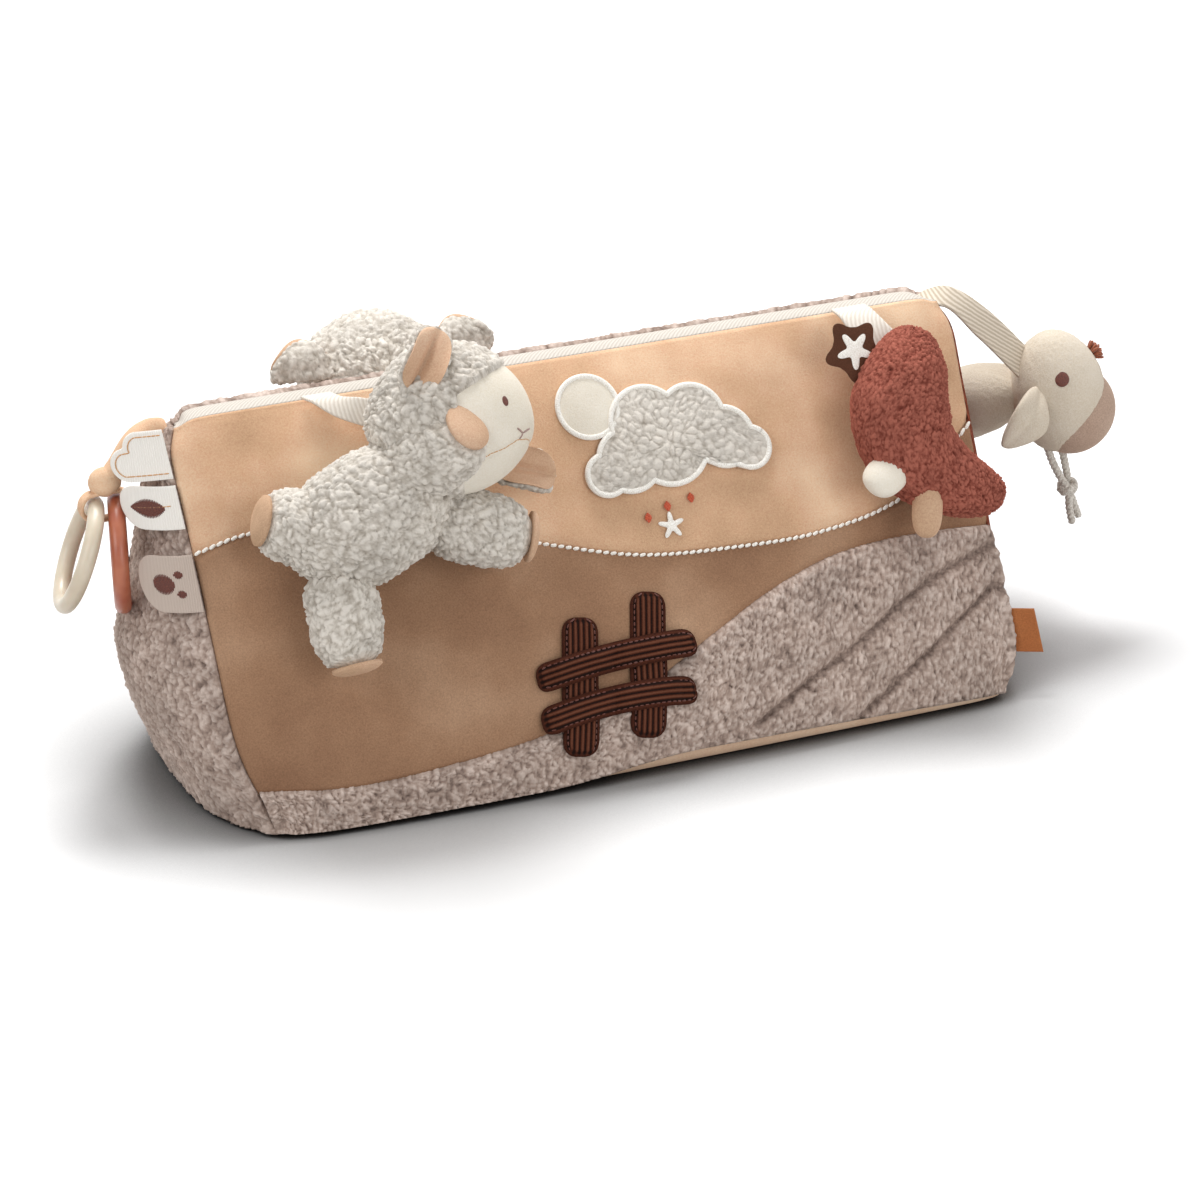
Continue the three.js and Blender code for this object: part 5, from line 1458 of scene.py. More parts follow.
def lamb_ear(label, to_world, name, ear, seed):
    """A leaf folded along its middle, with wool behind. At share w of its half width it rises by
    fold * w^1.7 * sin(pi (length's share + 0.08)), and a pleat runs down its middle."""
    half, across = ear["half"], np.array(ear["across"], float)
    stations = stations_of(ear, [(half * 0.7, 3.2), (half, 3.4), (half * 0.8, 3.0)])
    way = unit(np.subtract(ear["to"], ear["from"]))
    wide = unit(across - way * (way @ across))
    deep = np.cross(way, wide) * ear.get("turn", 1)
    for kind, grow, fold, shift in (("velour", 0.0, 11.0, 0.8), ("wool", 1.0, 9.5, -3.0)):
        rings, poles = stuffed(stations, across, roundness=2.6, spacing=0.9, grow=grow)
        centre = rings.mean(1, keepdims=True)
        side = (rings - centre) @ wide / half
        out = np.abs(side)
        share = np.linspace(0, 1, len(rings))[:, None]
        drawn_in = 0.3 * half * side ** 3 * np.sin(np.pi * np.clip(share * 0.9, 0, 1))
        pleat = 4.5 * np.exp(-(out / 0.14) ** 2) * (1 - share ** 3)
        folded = fold * np.minimum(out, 1.1) ** 1.7 * np.sin(np.pi * np.clip(share + 0.08, 0, 1))
        rings = rings - drawn_in[..., None] * wide + (folded - pleat + shift)[..., None] * deep
        called, form = f"{label}_{kind}_{name}", (to_world(rings), to_world(poles))
        if kind == "wool":
            wool(called, *form, label, seed=seed, height=2.0)
        else:
            velour_ear = closed_form(called, *form)
            dress(velour_ear, sole_velour, label, "tan_velour", f"{label}_{name}", fill=0.4)


def lamb(label, to_world, pose, seed):
    """Makes a lamb and returns its face's rings, for the stitches."""
    rings, poles = stuffed(pose["body"], pose["body_across"], spacing=WOOL_STEP)
    wool(label + "_wool_body", to_world(rings), to_world(poles), label, label + "_body", seed=seed)
    face = lamb_head(label, to_world, pose, seed + 1)
    for k, (name, limb) in enumerate(pose["limbs"].items()):
        lamb_limb(label, to_world, name, limb, seed + 2 + k)
    for k, (name, ear) in enumerate(pose["ears"].items()):
        lamb_ear(label, to_world, name, ear, seed + 7 + k)
    return face


# %% The front lamb
LAMB_X, BACK_LAMB_X, BIRD_X = -140.0, -76.0, 163.0
LAMB_REST = rest_height("front", LAMB_X - 60, LAMB_X + 115, 165)
LAMB = {
    "body": [[-40, -84, 23, 32, 24], [-8, -73, 26, 33, 26], [24, -61, 27, 31, 25], [48, -50, 28, 24, 20]],
    "body_across": [-0.36, 0.93, 0],
    "head": [54, -29, 34], "facing": [0.95, -0.1, 0.3], "head_across": [0, 1, 0],
    "face_start": 2, "crown": [0, 1, 0],
    "nose": [86, -41, 56],
    "mouth": [
        [57.5, -52.5, 58.6], [63.9, -50.4, 59.9], [71.8, -48.6, 59.5],
        [80, -45, 58], [88, -46, 50], [91, -52, 40],
    ],
    "limbs": {
        "hind_leg_near": {"from": [-18, -74, 24], "to": [-52, -62, 22], "across": [0, 1, 0]},
        "hind_leg_far": {"from": [-18, -92, 24], "to": [-16, -144, 20]},
        "fore_leg_far": {"from": [36, -76, 24], "to": [89, -94, 20], "across": [0, 1, 0]},
        "fore_leg_near": {
            "from": [18, -54, 34], "to": [57, -36, 62], "across": [0, 1, 0], "faced": [-0.3, 0.5, 1.3],
        },
    },
    "ears": {
        "ear_near": {
            "from": [31, -11, 52], "to": [49, 17, 59], "across": [0.75, -0.65, 0], "half": 14, "turn": -1,
        },
        "ear_far": {"from": [74, -52, 22], "to": [112, -64, 12], "across": [0.1, 1, 0], "half": 14},
    },
}
lamb_at = Slope(LAMB_X, LAMB_REST)
lamb_face = lamb("lamb", lamb_at, LAMB, 101)
print("front lamb, resting", round(LAMB_REST, 2), "mm over the seam plane")

# %% The back lamb
BACK_LAMB_REST = rest_height("back", -BACK_LAMB_X - 70, -BACK_LAMB_X + 70, 214, PILE)
BACK_LAMB = {
    "body": [[0, -160, 23, 32, 23], [0, -134, 26, 33, 26], [0, -108, 27, 31, 25], [0, -86, 28, 24, 20]],
    "body_across": [1, 0, 0],
    "head": [0, -60, 40.5], "facing": [0, -0.8, 1], "head_across": [1, 0, 0], "face_start": 4,
    "nose": [0, -88, 71], "mouth": [[-20, -92, 62], [0, -99, 66], [20, -92, 62]],
    "limbs": {
        "hind_leg_left": {"from": [-12, -148, 22], "to": [-28, -196, 19]},
        "hind_leg_right": {"from": [12, -148, 22], "to": [28, -196, 19]},
        "fore_leg_left": {"from": [-18, -112, 24], "to": [-64, -122, 20], "across": [0, 1, 0]},
        "fore_leg_right": {"from": [18, -112, 24], "to": [64, -122, 20], "across": [0, 1, 0]},
    },
    "ears": {
        "ear_left": {
            "from": [-30, -38, 30], "to": [-62, -36, 30], "across": [0, 1, 0], "half": 13, "turn": -1,
        },
        "ear_right": {"from": [30, -38, 30], "to": [62, -36, 30], "across": [0, 1, 0], "half": 13},
    },
}
back_lamb_at = Slope(-BACK_LAMB_X, BACK_LAMB_REST, back=True)
back_lamb_face = lamb("back_lamb", back_lamb_at, BACK_LAMB, 201)
print("back lamb, resting", round(BACK_LAMB_REST, 2), "mm over the seam plane")

# %% [markdown]
# ## Embroidered faces
# An eye is an oval of satin stitches. A nose is a Y of a few straight stitches, with a line
# under it for the mouth. Each is laid on the nearest point of the face.

# %% Eyes, noses and mouths
def stitched_line(name, form, places, material, body, slot, radius=0.55, pitch=2.6, sink=0.1):
    """Stitches end to end along places given near a form, laid on its surface."""
    route = spline(places, np.linspace(0, 1, 400))
    run = np.concatenate([[0], np.cumsum(np.linalg.norm(np.diff(route, axis=0), axis=-1))])
    count = max(1, int(run[-1] / pitch))
    marks = np.interp(np.linspace(0, run[-1], count + 1), run, np.arange(400)).astype(int)
    found = [nearest(form, route[k]) for k in marks]
    spots = np.array([p + n * (radius * 0.5 - sink) for p, n in found])
    ups = np.array([n for _, n in found])
    line = bars(name, spots[:-1], spots[1:], ups[:-1], radius)
    return dress(line, material, body, slot)


def stitched_eye(name, form, place, along, body, slot, a=2.9, b=1.9):
    """An oval of satin stitches, half lengths a and b."""
    centre, normal = nearest(form, place)
    eye = pad_on(name, centre, normal, along, a, b, 1.0, sides=28)
    return dress(eye, brown_thread, body, slot)


def lamb_features(label, form, to_world, pose, eyes, nose):
    """Stitches two eyes, the three lines of the nose and the mouth on a face."""
    upright = to_world.vector([0, 1, 0])
    for k, place in enumerate(eyes, 1):
        stitched_eye(f"{label}_eye_{k}", form, to_world(place), upright, label, "brown_corduroy")
    for k, line in enumerate(nose, 1):
        places = to_world(line)
        stitched_line(f"{label}_nose_{k}", form, places, nose_thread, label, "taupe_velour", 0.6)
    mouth = to_world(pose["mouth"])
    stitched_line(f"{label}_mouth", form, mouth, tan_thread, label, "tan_velour", 0.3, 2.2)


nose_thread = thread("rose_grey_nose_thread", "#8F746C", "#AB8F86")
lamb_features(
    "lamb", lamb_face, lamb_at, LAMB,
    eyes=[[75.4, -24.9, 63], [87, -57, 27]],
    nose=[
        [[79, -39, 61], [82, -41.5, 58.5]],
        [[86, -40, 56], [82, -41.5, 58.5]],
        [[82, -41.5, 58.5], [80.5, -44.5, 58]],
    ],
)
lamb_features(
    "back_lamb", back_lamb_face, back_lamb_at, BACK_LAMB,
    eyes=[[-17, -76, 74], [17, -76, 74]],
    nose=[[[-4, -86, 72], [0, -90, 71]], [[4, -86, 72], [0, -90, 71]], [[0, -90, 71], [0, -95, 68]]],
)
print("faces stitched")

# %% [markdown]
# ## Tapes
# Woven twill tape is cut to length and caught in a seam at one end and in the toy at the
# other. It can fold at the seam, which is where each toy turns.

# %% Tapes
TAPE = 1.2


def tape_sheet(name, at, wide, width, to_world, steps=46):
    """Flat tape along a line: its width's direction turns from station to station."""
    t = np.linspace(0, 1, steps)
    line = spline(at, t)
    forward = unit(spline(at, t + 1e-4) - spline(at, t - 1e-4))
    across = unit(spline(unit(wide), t))
    up = unit(np.cross(across, forward))
    w = np.linspace(-0.5, 0.5, 15)[None, :, None] * width
    middle = line[:, None] + w * across[:, None]
    selvedge = np.where(np.abs(w) > width * 0.43, 0.12, 0.0)
    outer = middle + up[:, None] * (TAPE / 2 + selvedge)
    inner = middle - up[:, None] * TAPE / 2
    length = np.linalg.norm(np.diff(line, axis=0), axis=-1).sum()
    return closed_sheet(name, to_world(outer), to_world(inner)), length


def dress_tape(thing, length, width, body, node, material=tape_twill):
    """Dresses a tape and says how long it is when it lies flat."""
    dress(thing, material, body, "cream_twill", node)
    print(thing.name, round(length, 1), "mm of tape", width, "mm wide")


def slope_tape(name, to_world, rest, under, underside, width, body, node, pile=0.0):
    """From the ridge seam, out and down to the place under the toy where it is sewn on."""
    root = TAPE / 2 + 0.4 + 0.3 * pile
    top = rest + underside - 0.7 - TAPE / 2
    way = unit(np.array([-under[1], under[0], 0.0]))
    half_way = [0.8 + way[0] * 0.2, way[1] * 0.6, 0]
    shares = (0, 0, 0), (0.05, 0.13, 0.47), (0.28, 0.42, 0.8), (0.75, 0.8, 1), (1, 1, 1)
    at = [
        [under[0] * right, under[1] * down - 0.3, root + (top - root) * up - rest]
        for right, down, up in shares
    ]
    wide = [[1, 0, 0], [1, 0, 0], half_way, way, way]
    thing, length = tape_sheet(name, at, wide, width, to_world)
    dress_tape(thing, length, width, body, node)


bird_rest = rest_height("front", BIRD_X - 25, BIRD_X + 62, 140)
bird_at = Slope(BIRD_X, bird_rest)
slope_tape("lamb_twill_tape", lamb_at, LAMB_REST, [46, -24], 2, 16, "lamb_strap", "lamb_tape")
slope_tape(
    "back_lamb_twill_tape", back_lamb_at, BACK_LAMB_REST, [0, -52], 2.1, 16,
    "back_lamb_strap", "back_lamb_tape", PILE,
)
slope_tape("bird_twill_tape", bird_at, bird_rest, [15, -33], 5.9, 20, "bird_strap", "bird_tape")

# %% [markdown]
# ## Bird
# A crescent of looped terry with two velour feet in its belly seam and a felt star label in
# its back seam. Terry loops are small and even, so its pile is finer than the wool's.

# %% Bird
BIRD_LINE = [
    [21, -20, 22, 17, 15], [14, -38, 22, 23, 19], [5, -60, 22, 26.5, 21], [6, -80, 22, 25.5, 20],
    [20, -98, 21, 21, 17], [40, -110, 19, 16, 13], [55, -115, 18, 13, 10],
]


def make_bird():
    """The terry body and two velour feet."""
    rings, poles = stuffed(BIRD_LINE, [-0.6, -0.8, 0], roundness=3.2, spacing=0.8)
    rings, poles, tuft = with_pile(bird_at(rings), bird_at(poles), size=2.0, height=1.8, sink=0.7, seed=301)
    body = closed_form("bird_terry_body", rings, poles, tuft)
    dress(body, brown_terry, "bird", "brown_terry", "bird_body", fill=0.85)
    for side, material, slot, root, toe, half in (
        ("left", ivory_velour, "ivory_velour", [2, -86, 26], [-24, -101, 30], 11.5),
        ("right", sole_velour, "tan_velour", [12, -98, 26], [3, -131, 28], 8.5),
    ):
        stations = [[*root, half * 0.9, 9], [*toe, half, 8]]
        rings, poles = stuffed(stations, [1, 0.2, 0], roundness=2.6, spacing=1.2)
        foot = closed_form(f"bird_{side}_foot", bird_at(rings), bird_at(poles))
        dress(foot, material, "bird", slot, f"bird_foot_{side}", fill=0.8)


def star_label():
    """A felt star, its points up and turned by half a radian, with a smaller white one on it."""
    turn, centre = 0.5, [-14, -26]

    def place(x, y, lift):
        across = x * math.cos(turn) - y * math.sin(turn) + centre[0]
        up = x * math.sin(turn) + y * math.cos(turn) + centre[1]
        return bird_at(np.stack([across, up, 20 + lift + 0 * x], -1))

    outline = star_outline(17.5, 12.5)
    felt = closed_form("bird_felt_label", *disc_rings(outline, 0.8, place, sides=120, base=0.0))
    dress(felt, label_felt, "bird", "brown_corduroy", "bird_star_label")
    star_area(outline)
    rings, poles = disc_rings(star_outline(10.5, 4.8), 0.5, place, sides=100, base=0.75)
    dress(closed_form("bird_label_star", rings, poles), white_thread, "bird", "cream_twill")


def star_area(outline):
    """Area in square metres: half the integral of the reach squared."""
    return float(np.mean(outline(around(720)) ** 2) * np.pi) * 1e-6


label_felt = velour("brown_label_felt", "#4E3022", "#5F3C2C", "#6E4838")
make_bird()
star_label()
print("bird, feet and star label")

# %% [markdown]
# ## Cow
# The cow hangs from the right end of the ridge by its own tape. Short plush, a velour muzzle,
# leaf ears, stitched eyes, a tuft of yarn between the ears and a beard of knotted rope.

# %% Cow
COW_MIDDLE = [64, -9, -69]
COW_HEAD = [[59, -9, -34, 24, 21], [*COW_MIDDLE, 27, 24], [67, -9, -104, 24, 22]]
MUZZLE_WAY = unit([0.72, 0, -0.7])
NOSE = np.array([74, -9, -82.0])
COW_BODY = [[50, -8, -68, 14, 14], [33, 12, -74, 20, 19], [32, 42, -88, 21, 20], [34, 72, -104, 15, 15]]
COW_EARS = {
    "cow_ear_near": [[46, -24, -60, 8, 4], [34, -35, -72, 12, 4.5], [19, -35, -86, 7, 4]],
    "cow_ear_far": [[52, 6, -62, 8, 4], [42, 21, -65, 11, 4.5], [30, 37, -69, 7, 4]],
}


def cow_at(points):
    """Places measured from the right end of the ridge."""
    return np.asarray(points, float) + [LENGTH / 2, 0, HEIGHT]


def short_plush(name, stations, across, node, **shape):
    """A stuffed form with a fine nap of short pile."""
    rings, poles = stuffed(stations, across, spacing=1.1, **shape)
    rings, poles, tuft = with_pile(
        cow_at(rings), cow_at(poles), size=1.7, height=0.45, sink=0.2, seed=len(name),
    )
    thing = closed_form(name, rings, poles, tuft)
    dress(thing, cream_plush, "cow", "cream_plush", node, fill=0.85)
    return rings


EAR_WAY = np.array([0.7, 0, -0.7])


def cow_ear(node, stations):
    """A leaf whose edges rise by 2.6 w^2 at w of its half width, less a pleat in its middle."""
    s = np.array(stations, float)
    rings, poles = stuffed(s, EAR_WAY, roundness=2.4, spacing=0.9)
    way = unit(s[-1, :3] - s[0, :3])
    wide = unit(EAR_WAY - way * (way @ EAR_WAY))
    deep = np.cross(way, wide)
    deep = deep * np.sign(deep @ [0, -1, 0.3])
    out = np.abs((rings - rings.mean(1, keepdims=True)) @ wide) / 11
    rings = rings + (2.6 * out ** 2 - 1.2 * np.exp(-(out / 0.2) ** 2))[..., None] * deep
    ear = closed_form(node.replace("cow_", "cow_plush_"), cow_at(rings), cow_at(poles))
    dress(ear, cream_plush, "cow", "cream_plush", node, fill=0.4)


def make_cow():
    """Makes the cow and returns its head's rings, for the eyes and the tuft."""
    head = short_plush("cow_plush_head", COW_HEAD, [1, 0, 0], "cow_head")
    line = [[*(NOSE + MUZZLE_WAY * 24 * k), 25, 22] for k in (-0.6, 0, 1)]
    rings, poles = stuffed(line, [0.7, 0, 0.72], spacing=1.1)
    muzzle = closed_form("cow_velour_muzzle", cow_at(rings), cow_at(poles))
    dress(muzzle, taupe_velour, "cow", "taupe_velour", "cow_muzzle", fill=0.85)
    short_plush("cow_plush_body", COW_BODY, [1, 0, 0], "cow_body", roundness=2.6)
    for node, stations in COW_EARS.items():
        cow_ear(node, stations)
    return head


cow_head = make_cow()
for k, side in enumerate((-29.6, 11.6), 1):
    centre, normal = nearest(cow_head, cow_at([56.9, side, -55.3]))
    eye = pad_on(f"cow_eye_{k}", centre, normal, [0, 0, 1], 4.2, 4.0, 1.3, sides=32)
    dress(eye, brown_thread, "cow", "brown_corduroy")
at = [[-13, 0.5, -6.5], [2, 0, -7.5], [22, -5, -25], [46, -9, -52]]
wide = [[0, 1, 0], [0.3, 0.8, 0.4], [0.6, 0.45, 0.65], [0.72, 0.42, 0.56]]
tape, length = tape_sheet("cow_twill_tape", at, wide, 17, cow_at)
dress_tape(tape, length, 17, "cow_strap", "cow_tape", cotton_twill)


def yarn_tuft():
    """Short strands of yarn that lean out of the seam between the ears, as round bars."""
    root, normal = nearest(cow_head, cow_at([85, -11, -50]))
    k = np.arange(26)
    turn = k * 2.4
    spread = np.sqrt((k + 0.5) / 26)
    side = unit(np.cross(normal, [0, 1, 0]))
    other = np.cross(normal, side)
    out = (side * np.cos(turn)[:, None] + other * np.sin(turn)[:, None]) * spread[:, None]
    a = root + out * 3.2 - normal * 0.5
    b = root + out * 6.8 + normal * (6.5 - 3 * spread[:, None])
    tuft = bars("cow_yarn_tuft", a, b, np.broadcast_to(normal, a.shape), 0.95, flat=1.0)
    dress(tuft, rust_yarn, "cow", "rust_felt")


rust_yarn = thread("rust_wool_yarn", "#7A3A20", "#A05632", 0.7)
yarn_tuft()
print("cow, with", len(COW_EARS), "ears")

# %% [markdown]
# The beard is cotton rope: two strands leave the chin and are tied together in one knot. Each
# is followed from the chin, through the knot, to its cut end.

# %% Rope beard
ROPE = 4.4


def rope(name, places, twist=9.0):
    """Three plies round a line: radius = r * (0.93 + 0.1 cos(3 (a - 2 pi length / twist)))."""
    t = np.linspace(0, 1, int(120 / FINE))
    line = spline(places, t)
    run = np.concatenate([[0], np.cumsum(np.linalg.norm(np.diff(line, axis=0), axis=-1))])
    forward = unit(spline(places, t + 1e-3) - spline(places, t - 1e-3))
    wide = unit(np.cross(forward, [0, 1, 0.02]))
    deep = np.cross(forward, wide)
    angle = around(20)
    ends = np.sqrt(1 - np.abs(2 * t - 1) ** 40)
    plies = 0.93 + 0.1 * np.cos(3 * angle - 2 * np.pi * run[:, None] / twist * 3)
    size = ROPE / 2 * ends[:, None] * plies
    section = wide[:, None] * np.cos(angle)[:, None] + deep[:, None] * np.sin(angle)[:, None]
    rings = line[:, None] + size[..., None] * section
    return closed_form(name, cow_at(rings), cow_at([line[0], line[-1]])), line, run[-1]


STRANDS = {
    "cow_rope_left": [
        [56, -10, -94], [60, -11, -108], [65, -11.5, -119], [69.5, -12.5, -127], [70, -13, -137],
        [72, -13, -148],
    ],
    "cow_rope_right": [
        [66, -8, -96], [69, -8, -109], [71, -8, -119], [72, -7.5, -127], [75, -8, -137],
        [78.5, -8, -147],
    ],
}
for node, places in STRANDS.items():
    strand, line, length = rope(node.replace("cow_rope", "cow_cotton_strand"), places)
    dress(strand, grey_rope, "cow", "grey_rope", node)
    cow_at(line[0]) * MM
    (cow_at(line) * MM).tolist()
    print(strand.name, round(length, 1), "mm long")


def knot():
    """One turn of rope drawn tight round both strands: a short fat hoop with its plies aslant."""
    angle = around(int(64 / FINE))
    middle = np.array([70.5, -10, -126.5])
    c, s = np.cos(angle), np.sin(angle)
    line = middle + np.stack([3.6 * c, 3.2 * s, 1.2 * np.sin(angle + 0.6)], -1)
    forward = along(line)
    across = unit(np.cross(forward, [0, 0, 1.0]))
    deep = np.cross(across, forward)
    turn = around(20)
    size = 2.7 * (0.93 + 0.1 * np.cos(3 * turn - 6 * angle[:, None]))
    ring = across[:, None] * np.cos(turn)[:, None] + deep[:, None] * np.sin(turn)[:, None] * 1.25
    turned = looped("cow_rope_turn", cow_at(line[:, None] + size[..., None] * ring))
    return dress(turned, grey_rope, "cow", "grey_rope", "cow_rope_knot")


print(knot().name, "ties them")

# %% [markdown]
# ## Rings and their loop
# Two solid plastic rings hang in a velour band, knotted under a neck that is sewn into the
# left end of the ridge. The rings swing freely in the band.

# %% Rings
HOLD = np.array([-27.5, 3.0, -46.0])
RING_TUBE, RING_RADIUS, SPACING, CLEARANCE = 4.5, 27.5, 11.0, 1.6
BAND_THICK, BAND_WIDE = 2.4, 7.5


def rings_at(points):
    """Places measured from the left end of the ridge."""
    return np.asarray(points, float) + [-LENGTH / 2, 0, HEIGHT]


def plastic_ring(name, node, body, offset, normal, material, slot):
    """A torus that hangs from HOLD: its centre is one radius below, in its own plane."""
    normal = unit(normal)
    down = unit(np.array([0, 0, -1.0]) + normal * normal[2])
    centre = HOLD + [offset, 0, 0] + down * RING_RADIUS
    side = np.cross(normal, down)
    angle = around(int(144 / FINE))
    out = down * np.cos(angle)[:, None] + side * np.sin(angle)[:, None]
    turn = around(24)
    tube = out[:, None] * np.cos(turn)[:, None] + normal * np.sin(turn)[:, None]
    torus = looped(name, rings_at(centre + out[:, None] * RING_RADIUS + tube * RING_TUBE))
    dress(torus, material, body, slot, node)


plastic_ring(
    "ivory_plastic_ring", "ring_ivory", "ivory_ring", -SPACING / 2, [-0.9, 0.183, 0.38],
    ivory_plastic, "ivory_plastic",
)
plastic_ring(
    "terracotta_plastic_ring", "ring_terracotta", "terracotta_ring", SPACING / 2, [-0.963, 0.269, 0],
    terracotta_plastic, "terracotta_plastic",
)
print("two rings of", 2 * (RING_RADIUS + RING_TUBE), "mm")


# %% The loop, its knot and its neck
LOOP_TOP = HOLD[2] + RING_TUBE + CLEARANCE + BAND_THICK
# Each part's stations, the way across it and its roundness.
LOOP_PARTS = {
    "velour_loop_knot": (
        [[HOLD[0] - 8, 3, LOOP_TOP + 2, 6, 6], [HOLD[0], 3, LOOP_TOP + 4, 8, 7],
         [HOLD[0] + 9, 3, LOOP_TOP + 4, 6, 6]],
        [0, 0, 1], 2.6,
    ),
    "velour_loop_neck": (
        [[7, -1, -7, 3, 5.6], [-9, 1.5, -10, 3.6, 6], [HOLD[0] + 6, 3, -26, 4, 6],
         [HOLD[0] + 1, 3, LOOP_TOP + 5, 5, 6]],
        [1, 0, 0], 6,
    ),
}


def velour_loop():
    """The band is a stadium swept round both rings, with soft rounded edges."""
    straight = SPACING / 2 + 0.6
    mid = RING_TUBE + CLEARANCE + BAND_THICK / 2
    angle = around(int(120 / FINE))
    c = np.cos(angle)
    x = mid * c + straight * np.sign(c) * np.minimum(1, 3 * np.abs(c))
    line = np.stack([x, 0 * x, mid * np.sin(angle)], -1)
    out = np.cross(along(line), [0, 1.0, 0])
    c, s = np.cos(around(20)), np.sin(around(20))
    section = out[:, None] * (np.sign(c) * np.abs(c) ** 0.7 * BAND_THICK / 2)[:, None]
    section = section + np.array([0, 1.0, 0]) * (np.sign(s) * np.abs(s) ** 0.6 * BAND_WIDE / 2)[:, None]
    band = looped("velour_ring_band", rings_at(HOLD + line[:, None] + section))
    dress(band, tan_velour, "ring_holder", "tan_velour", "ring_loop", fill=0.4)
    for name, (stations, across, roundness) in LOOP_PARTS.items():
        rings, poles = stuffed(stations, across, roundness=roundness, spacing=0.9)
        part = closed_form(name, rings_at(rings), rings_at(poles))
        dress(part, tan_velour, "ring_holder", "tan_velour", fill=0.6)


velour_loop()
print("loop with", len(LOOP_PARTS), "more parts")

# %% [markdown]
# ## Labels and tab
# Folded ribbon labels are caught in the left seam, for small fingers to rub. Their pictures
# are plain ones. A bare felt tab sits in the right seam.

# %% Shapes and bends of the labels
LABEL, LABEL_ROOT = 1.0, 1.9
BEND, STEPS = 34, 8


def cloud_end(w, inset=0.0):
    """Two lobes of a cloud: the farther of two circles' edges, from the seam."""
    best = np.full_like(w, 9.0)
    for middle, across, radius in ((20.5, -4.0, 9.0), (12.5, 4.2, 8.9)):
        half = (radius - inset) ** 2 - (13 * w - across) ** 2
        best = np.maximum(best, np.where(half > 0, middle + np.sqrt(np.maximum(half, 0)), 0))
    return best


def round_end(reach):
    """A half oval end, reach mm from the seam."""
    return lambda w: reach * (0.62 + 0.38 * np.sqrt(np.maximum(0, 1 - w ** 2)))


def seam_label(side, height, half, turn):
    """A label bends as it leaves the seam: its direction turns from turn[0] to turn[1] over
    BEND mm. Returns place(a, w, lift), for a mm out from the seam and w from -1 to 1 across."""
    v = np.array([share_up(height)])
    root = face_point("front", np.array([float(side)]), v)[0]
    up = unit(face_point("front", np.array([float(side)]), v + 0.01)[0] - root)

    def place(a, w, lift):
        a, w = np.broadcast_arrays(np.asarray(a, float), w)
        p = root + w[..., None] * half * up
        for i in range(STEPS):
            angle = turn[0] + (turn[1] - turn[0]) * a * (i + 0.5) / STEPS / BEND
            p = p + np.stack([np.cos(angle), np.sin(angle), 0 * angle], -1) * (a / STEPS)[..., None]
        angle = turn[0] + (turn[1] - turn[0]) * a / BEND
        return p + np.stack([-np.sin(angle), np.cos(angle), 0 * angle], -1) * np.asarray(lift)[..., None]

    return place


# %% Cutting and stitching a label
def label_sheet(name, place, half, reach, root, material, body, slot, node):
    """The cut shape: from the seam to reach(w), with a soft welt along its edge."""
    w = np.sin(np.linspace(-1, 1, int(46 / FINE)) * np.pi / 2)[None, :]
    share = np.linspace(0, 1, int(54 / FINE))[:, None]
    hidden = root - 2.5
    a = hidden + share * (reach(w) - hidden)
    edge = np.minimum((1 - np.abs(w)) * half, (1 - share) * reach(w))
    lift = LABEL / 2 * np.clip(0.35 + edge, 0, 1)
    thing = closed_sheet(name, place(a, w, lift), place(a, w, -lift))
    dress(thing, material, body, slot, node)
    longest = float(np.max(reach(w)) - hidden)
    area = min(float(np.mean(reach(w) - hidden)), longest) * 2 * half * 1e-6
    return thing


def label_line(name, place, a, w, body, slot, radius):
    """Stitches of tan thread, end to end along places on a label's outer side."""
    lift = np.full(len(a), LABEL / 2 + 0.1)
    spots = place(a, w, lift)
    up = place(a, w, lift + 1) - spots
    line = bars(name, spots[:-1], spots[1:], up[:-1], radius, flat=0.6)
    return dress(line, tan_thread, body, slot)


def label_fill(name, place, a, w_from, w_to, body):
    """Satin stitches side by side, each from one edge of the motif to the other."""
    lift = np.full(len(a), LABEL / 2 + 0.05)
    ends = place(a, w_from, lift), place(a, w_to, lift)
    up = place(a, w_to, lift + 1) - ends[1]
    return dress(bars(name, *ends, up, 0.5, flat=0.6), brown_thread, body, "brown_corduroy")


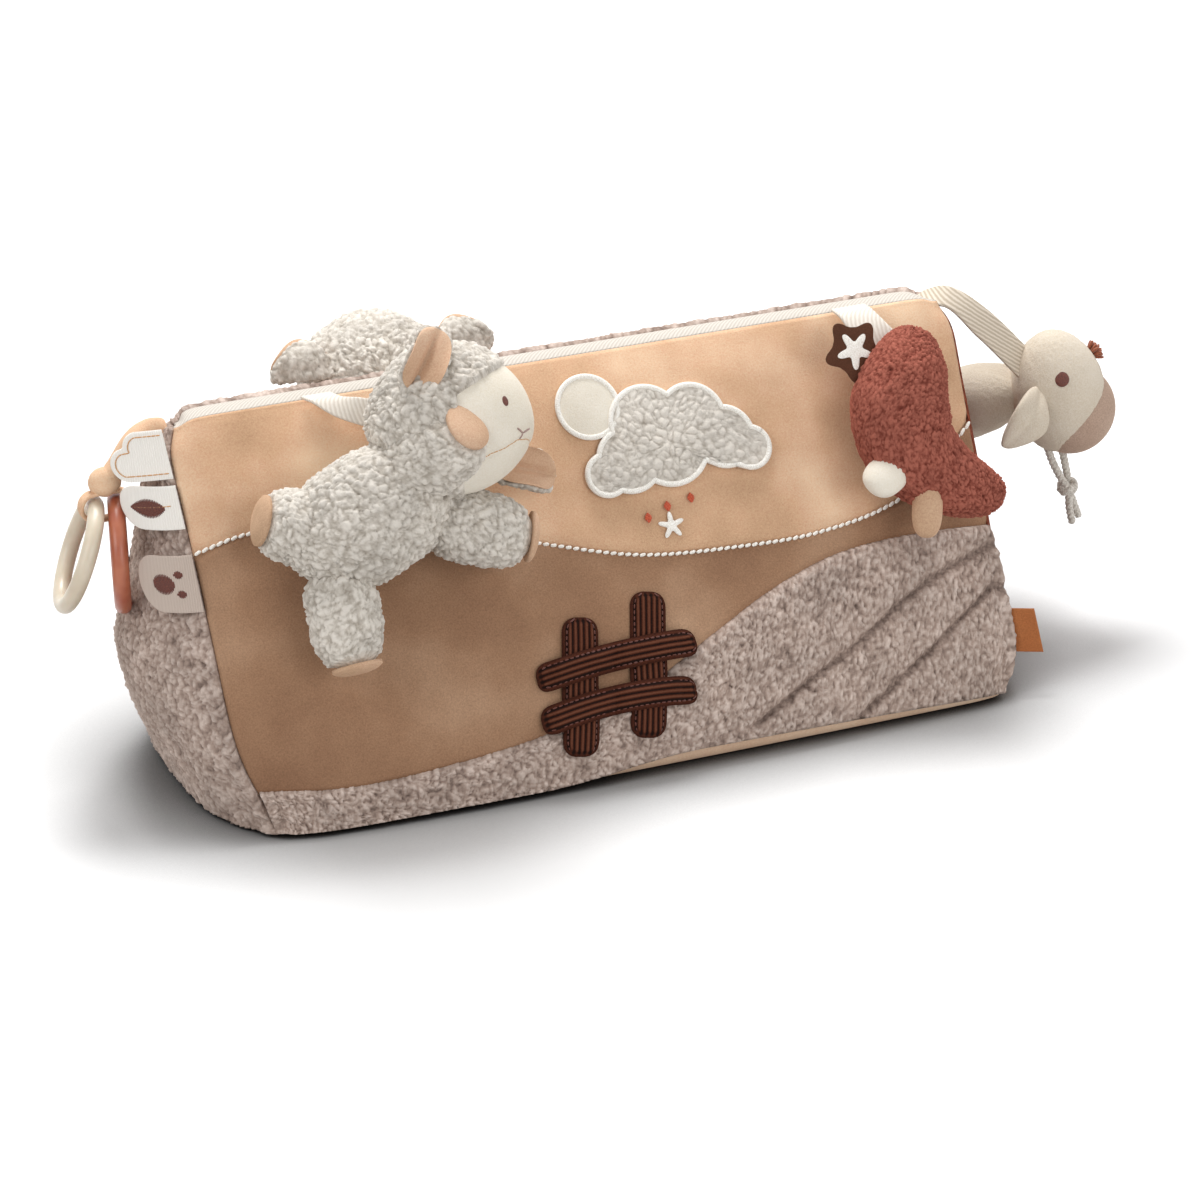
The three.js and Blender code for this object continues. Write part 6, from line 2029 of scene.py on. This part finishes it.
# %% Motifs of the labels
def cloud_motif(place, half, body):
    """An open outline 2.6 mm inside the label's cloud shaped edge."""
    w = np.linspace(-0.76, 0.79, 40)
    a = np.concatenate([np.linspace(1, 18, 7), cloud_end(w, 2.6), np.linspace(10, 1, 5)])
    w = np.concatenate([np.full(7, w[0]), w, np.full(5, w[-1])])
    label_line("cloud_label_outline", place, a, w, body, "cream_twill", 0.4)


def leaf_motif(place, half, body):
    """A blade whose half width is 0.55 sin(pi t)^0.8 (1 - 0.35 t), with a vein on it."""
    a = np.arange(7, 26, 0.8)
    t = (a - 7) / 19
    w = 0.55 * np.sin(np.pi * t) ** 0.8 * (1 - 0.35 * t)
    label_fill("leaf_label_blade", place, a, -w, w, body)
    a, w = np.linspace(4, 24, 9), np.linspace(0.1, 0, 9)
    label_line("leaf_label_vein", place, a, w, body, "brown_corduroy", 0.35)


def dots_motif(place, half, body):
    """A large dot and two small ones, each a circle filled with stitches."""
    for k, (middle, across, radius) in enumerate(((17, 0, 5.6), (8.5, 0.34, 2.2), (8.5, -0.34, 2.2)), 1):
        a = middle + np.arange(-radius + 0.3, radius, 0.8)
        w = np.sqrt(radius ** 2 - (a - middle) ** 2) / half
        label_fill(f"round_label_dot_{k}", place, a, across - w, across + w, body)


# %% Labels and tab
BENT_BACK, BENT_LESS = (math.pi - 0.15, math.pi - 1.15), (math.pi - 0.15, math.pi - 0.35)
# Node, end of the cushion, height up the seam, half width, reach, bend, place of its hinge,
# body, material, slot and motif. The tab is bare.
LABELS = [
    ("label_cloud", 0, 209, 13, cloud_end, BENT_LESS, LABEL_ROOT,
     "cloud_tag", label_satin, "cream_twill", cloud_motif),
    ("label_leaf", 0, 181, 11.5, round_end(33), BENT_BACK, LABEL_ROOT,
     "leaf_tag", label_satin, "cream_twill", leaf_motif),
    ("label_round", 0, 141, 15, round_end(32), BENT_BACK, LABEL_ROOT,
     "round_tag", taupe_satin, "taupe_velour", dots_motif),
    ("side_tab", 1, 39, 12, lambda w: 13 + 0 * w, (-0.5, -0.5), 0.9,
     "right_tab", rust_felt, "rust_felt", None),
]
for node, side, height, half, reach, turn, root, body, material, slot, motif in LABELS:
    place = seam_label(side, height, half, turn)
    name = "felt_side_tab" if node == "side_tab" else "satin_" + node
    label_sheet(name, place, half, reach, root, material, body, slot, node)
    if motif:
        motif(place, half, body)
    print(name, "sewn in the seam")
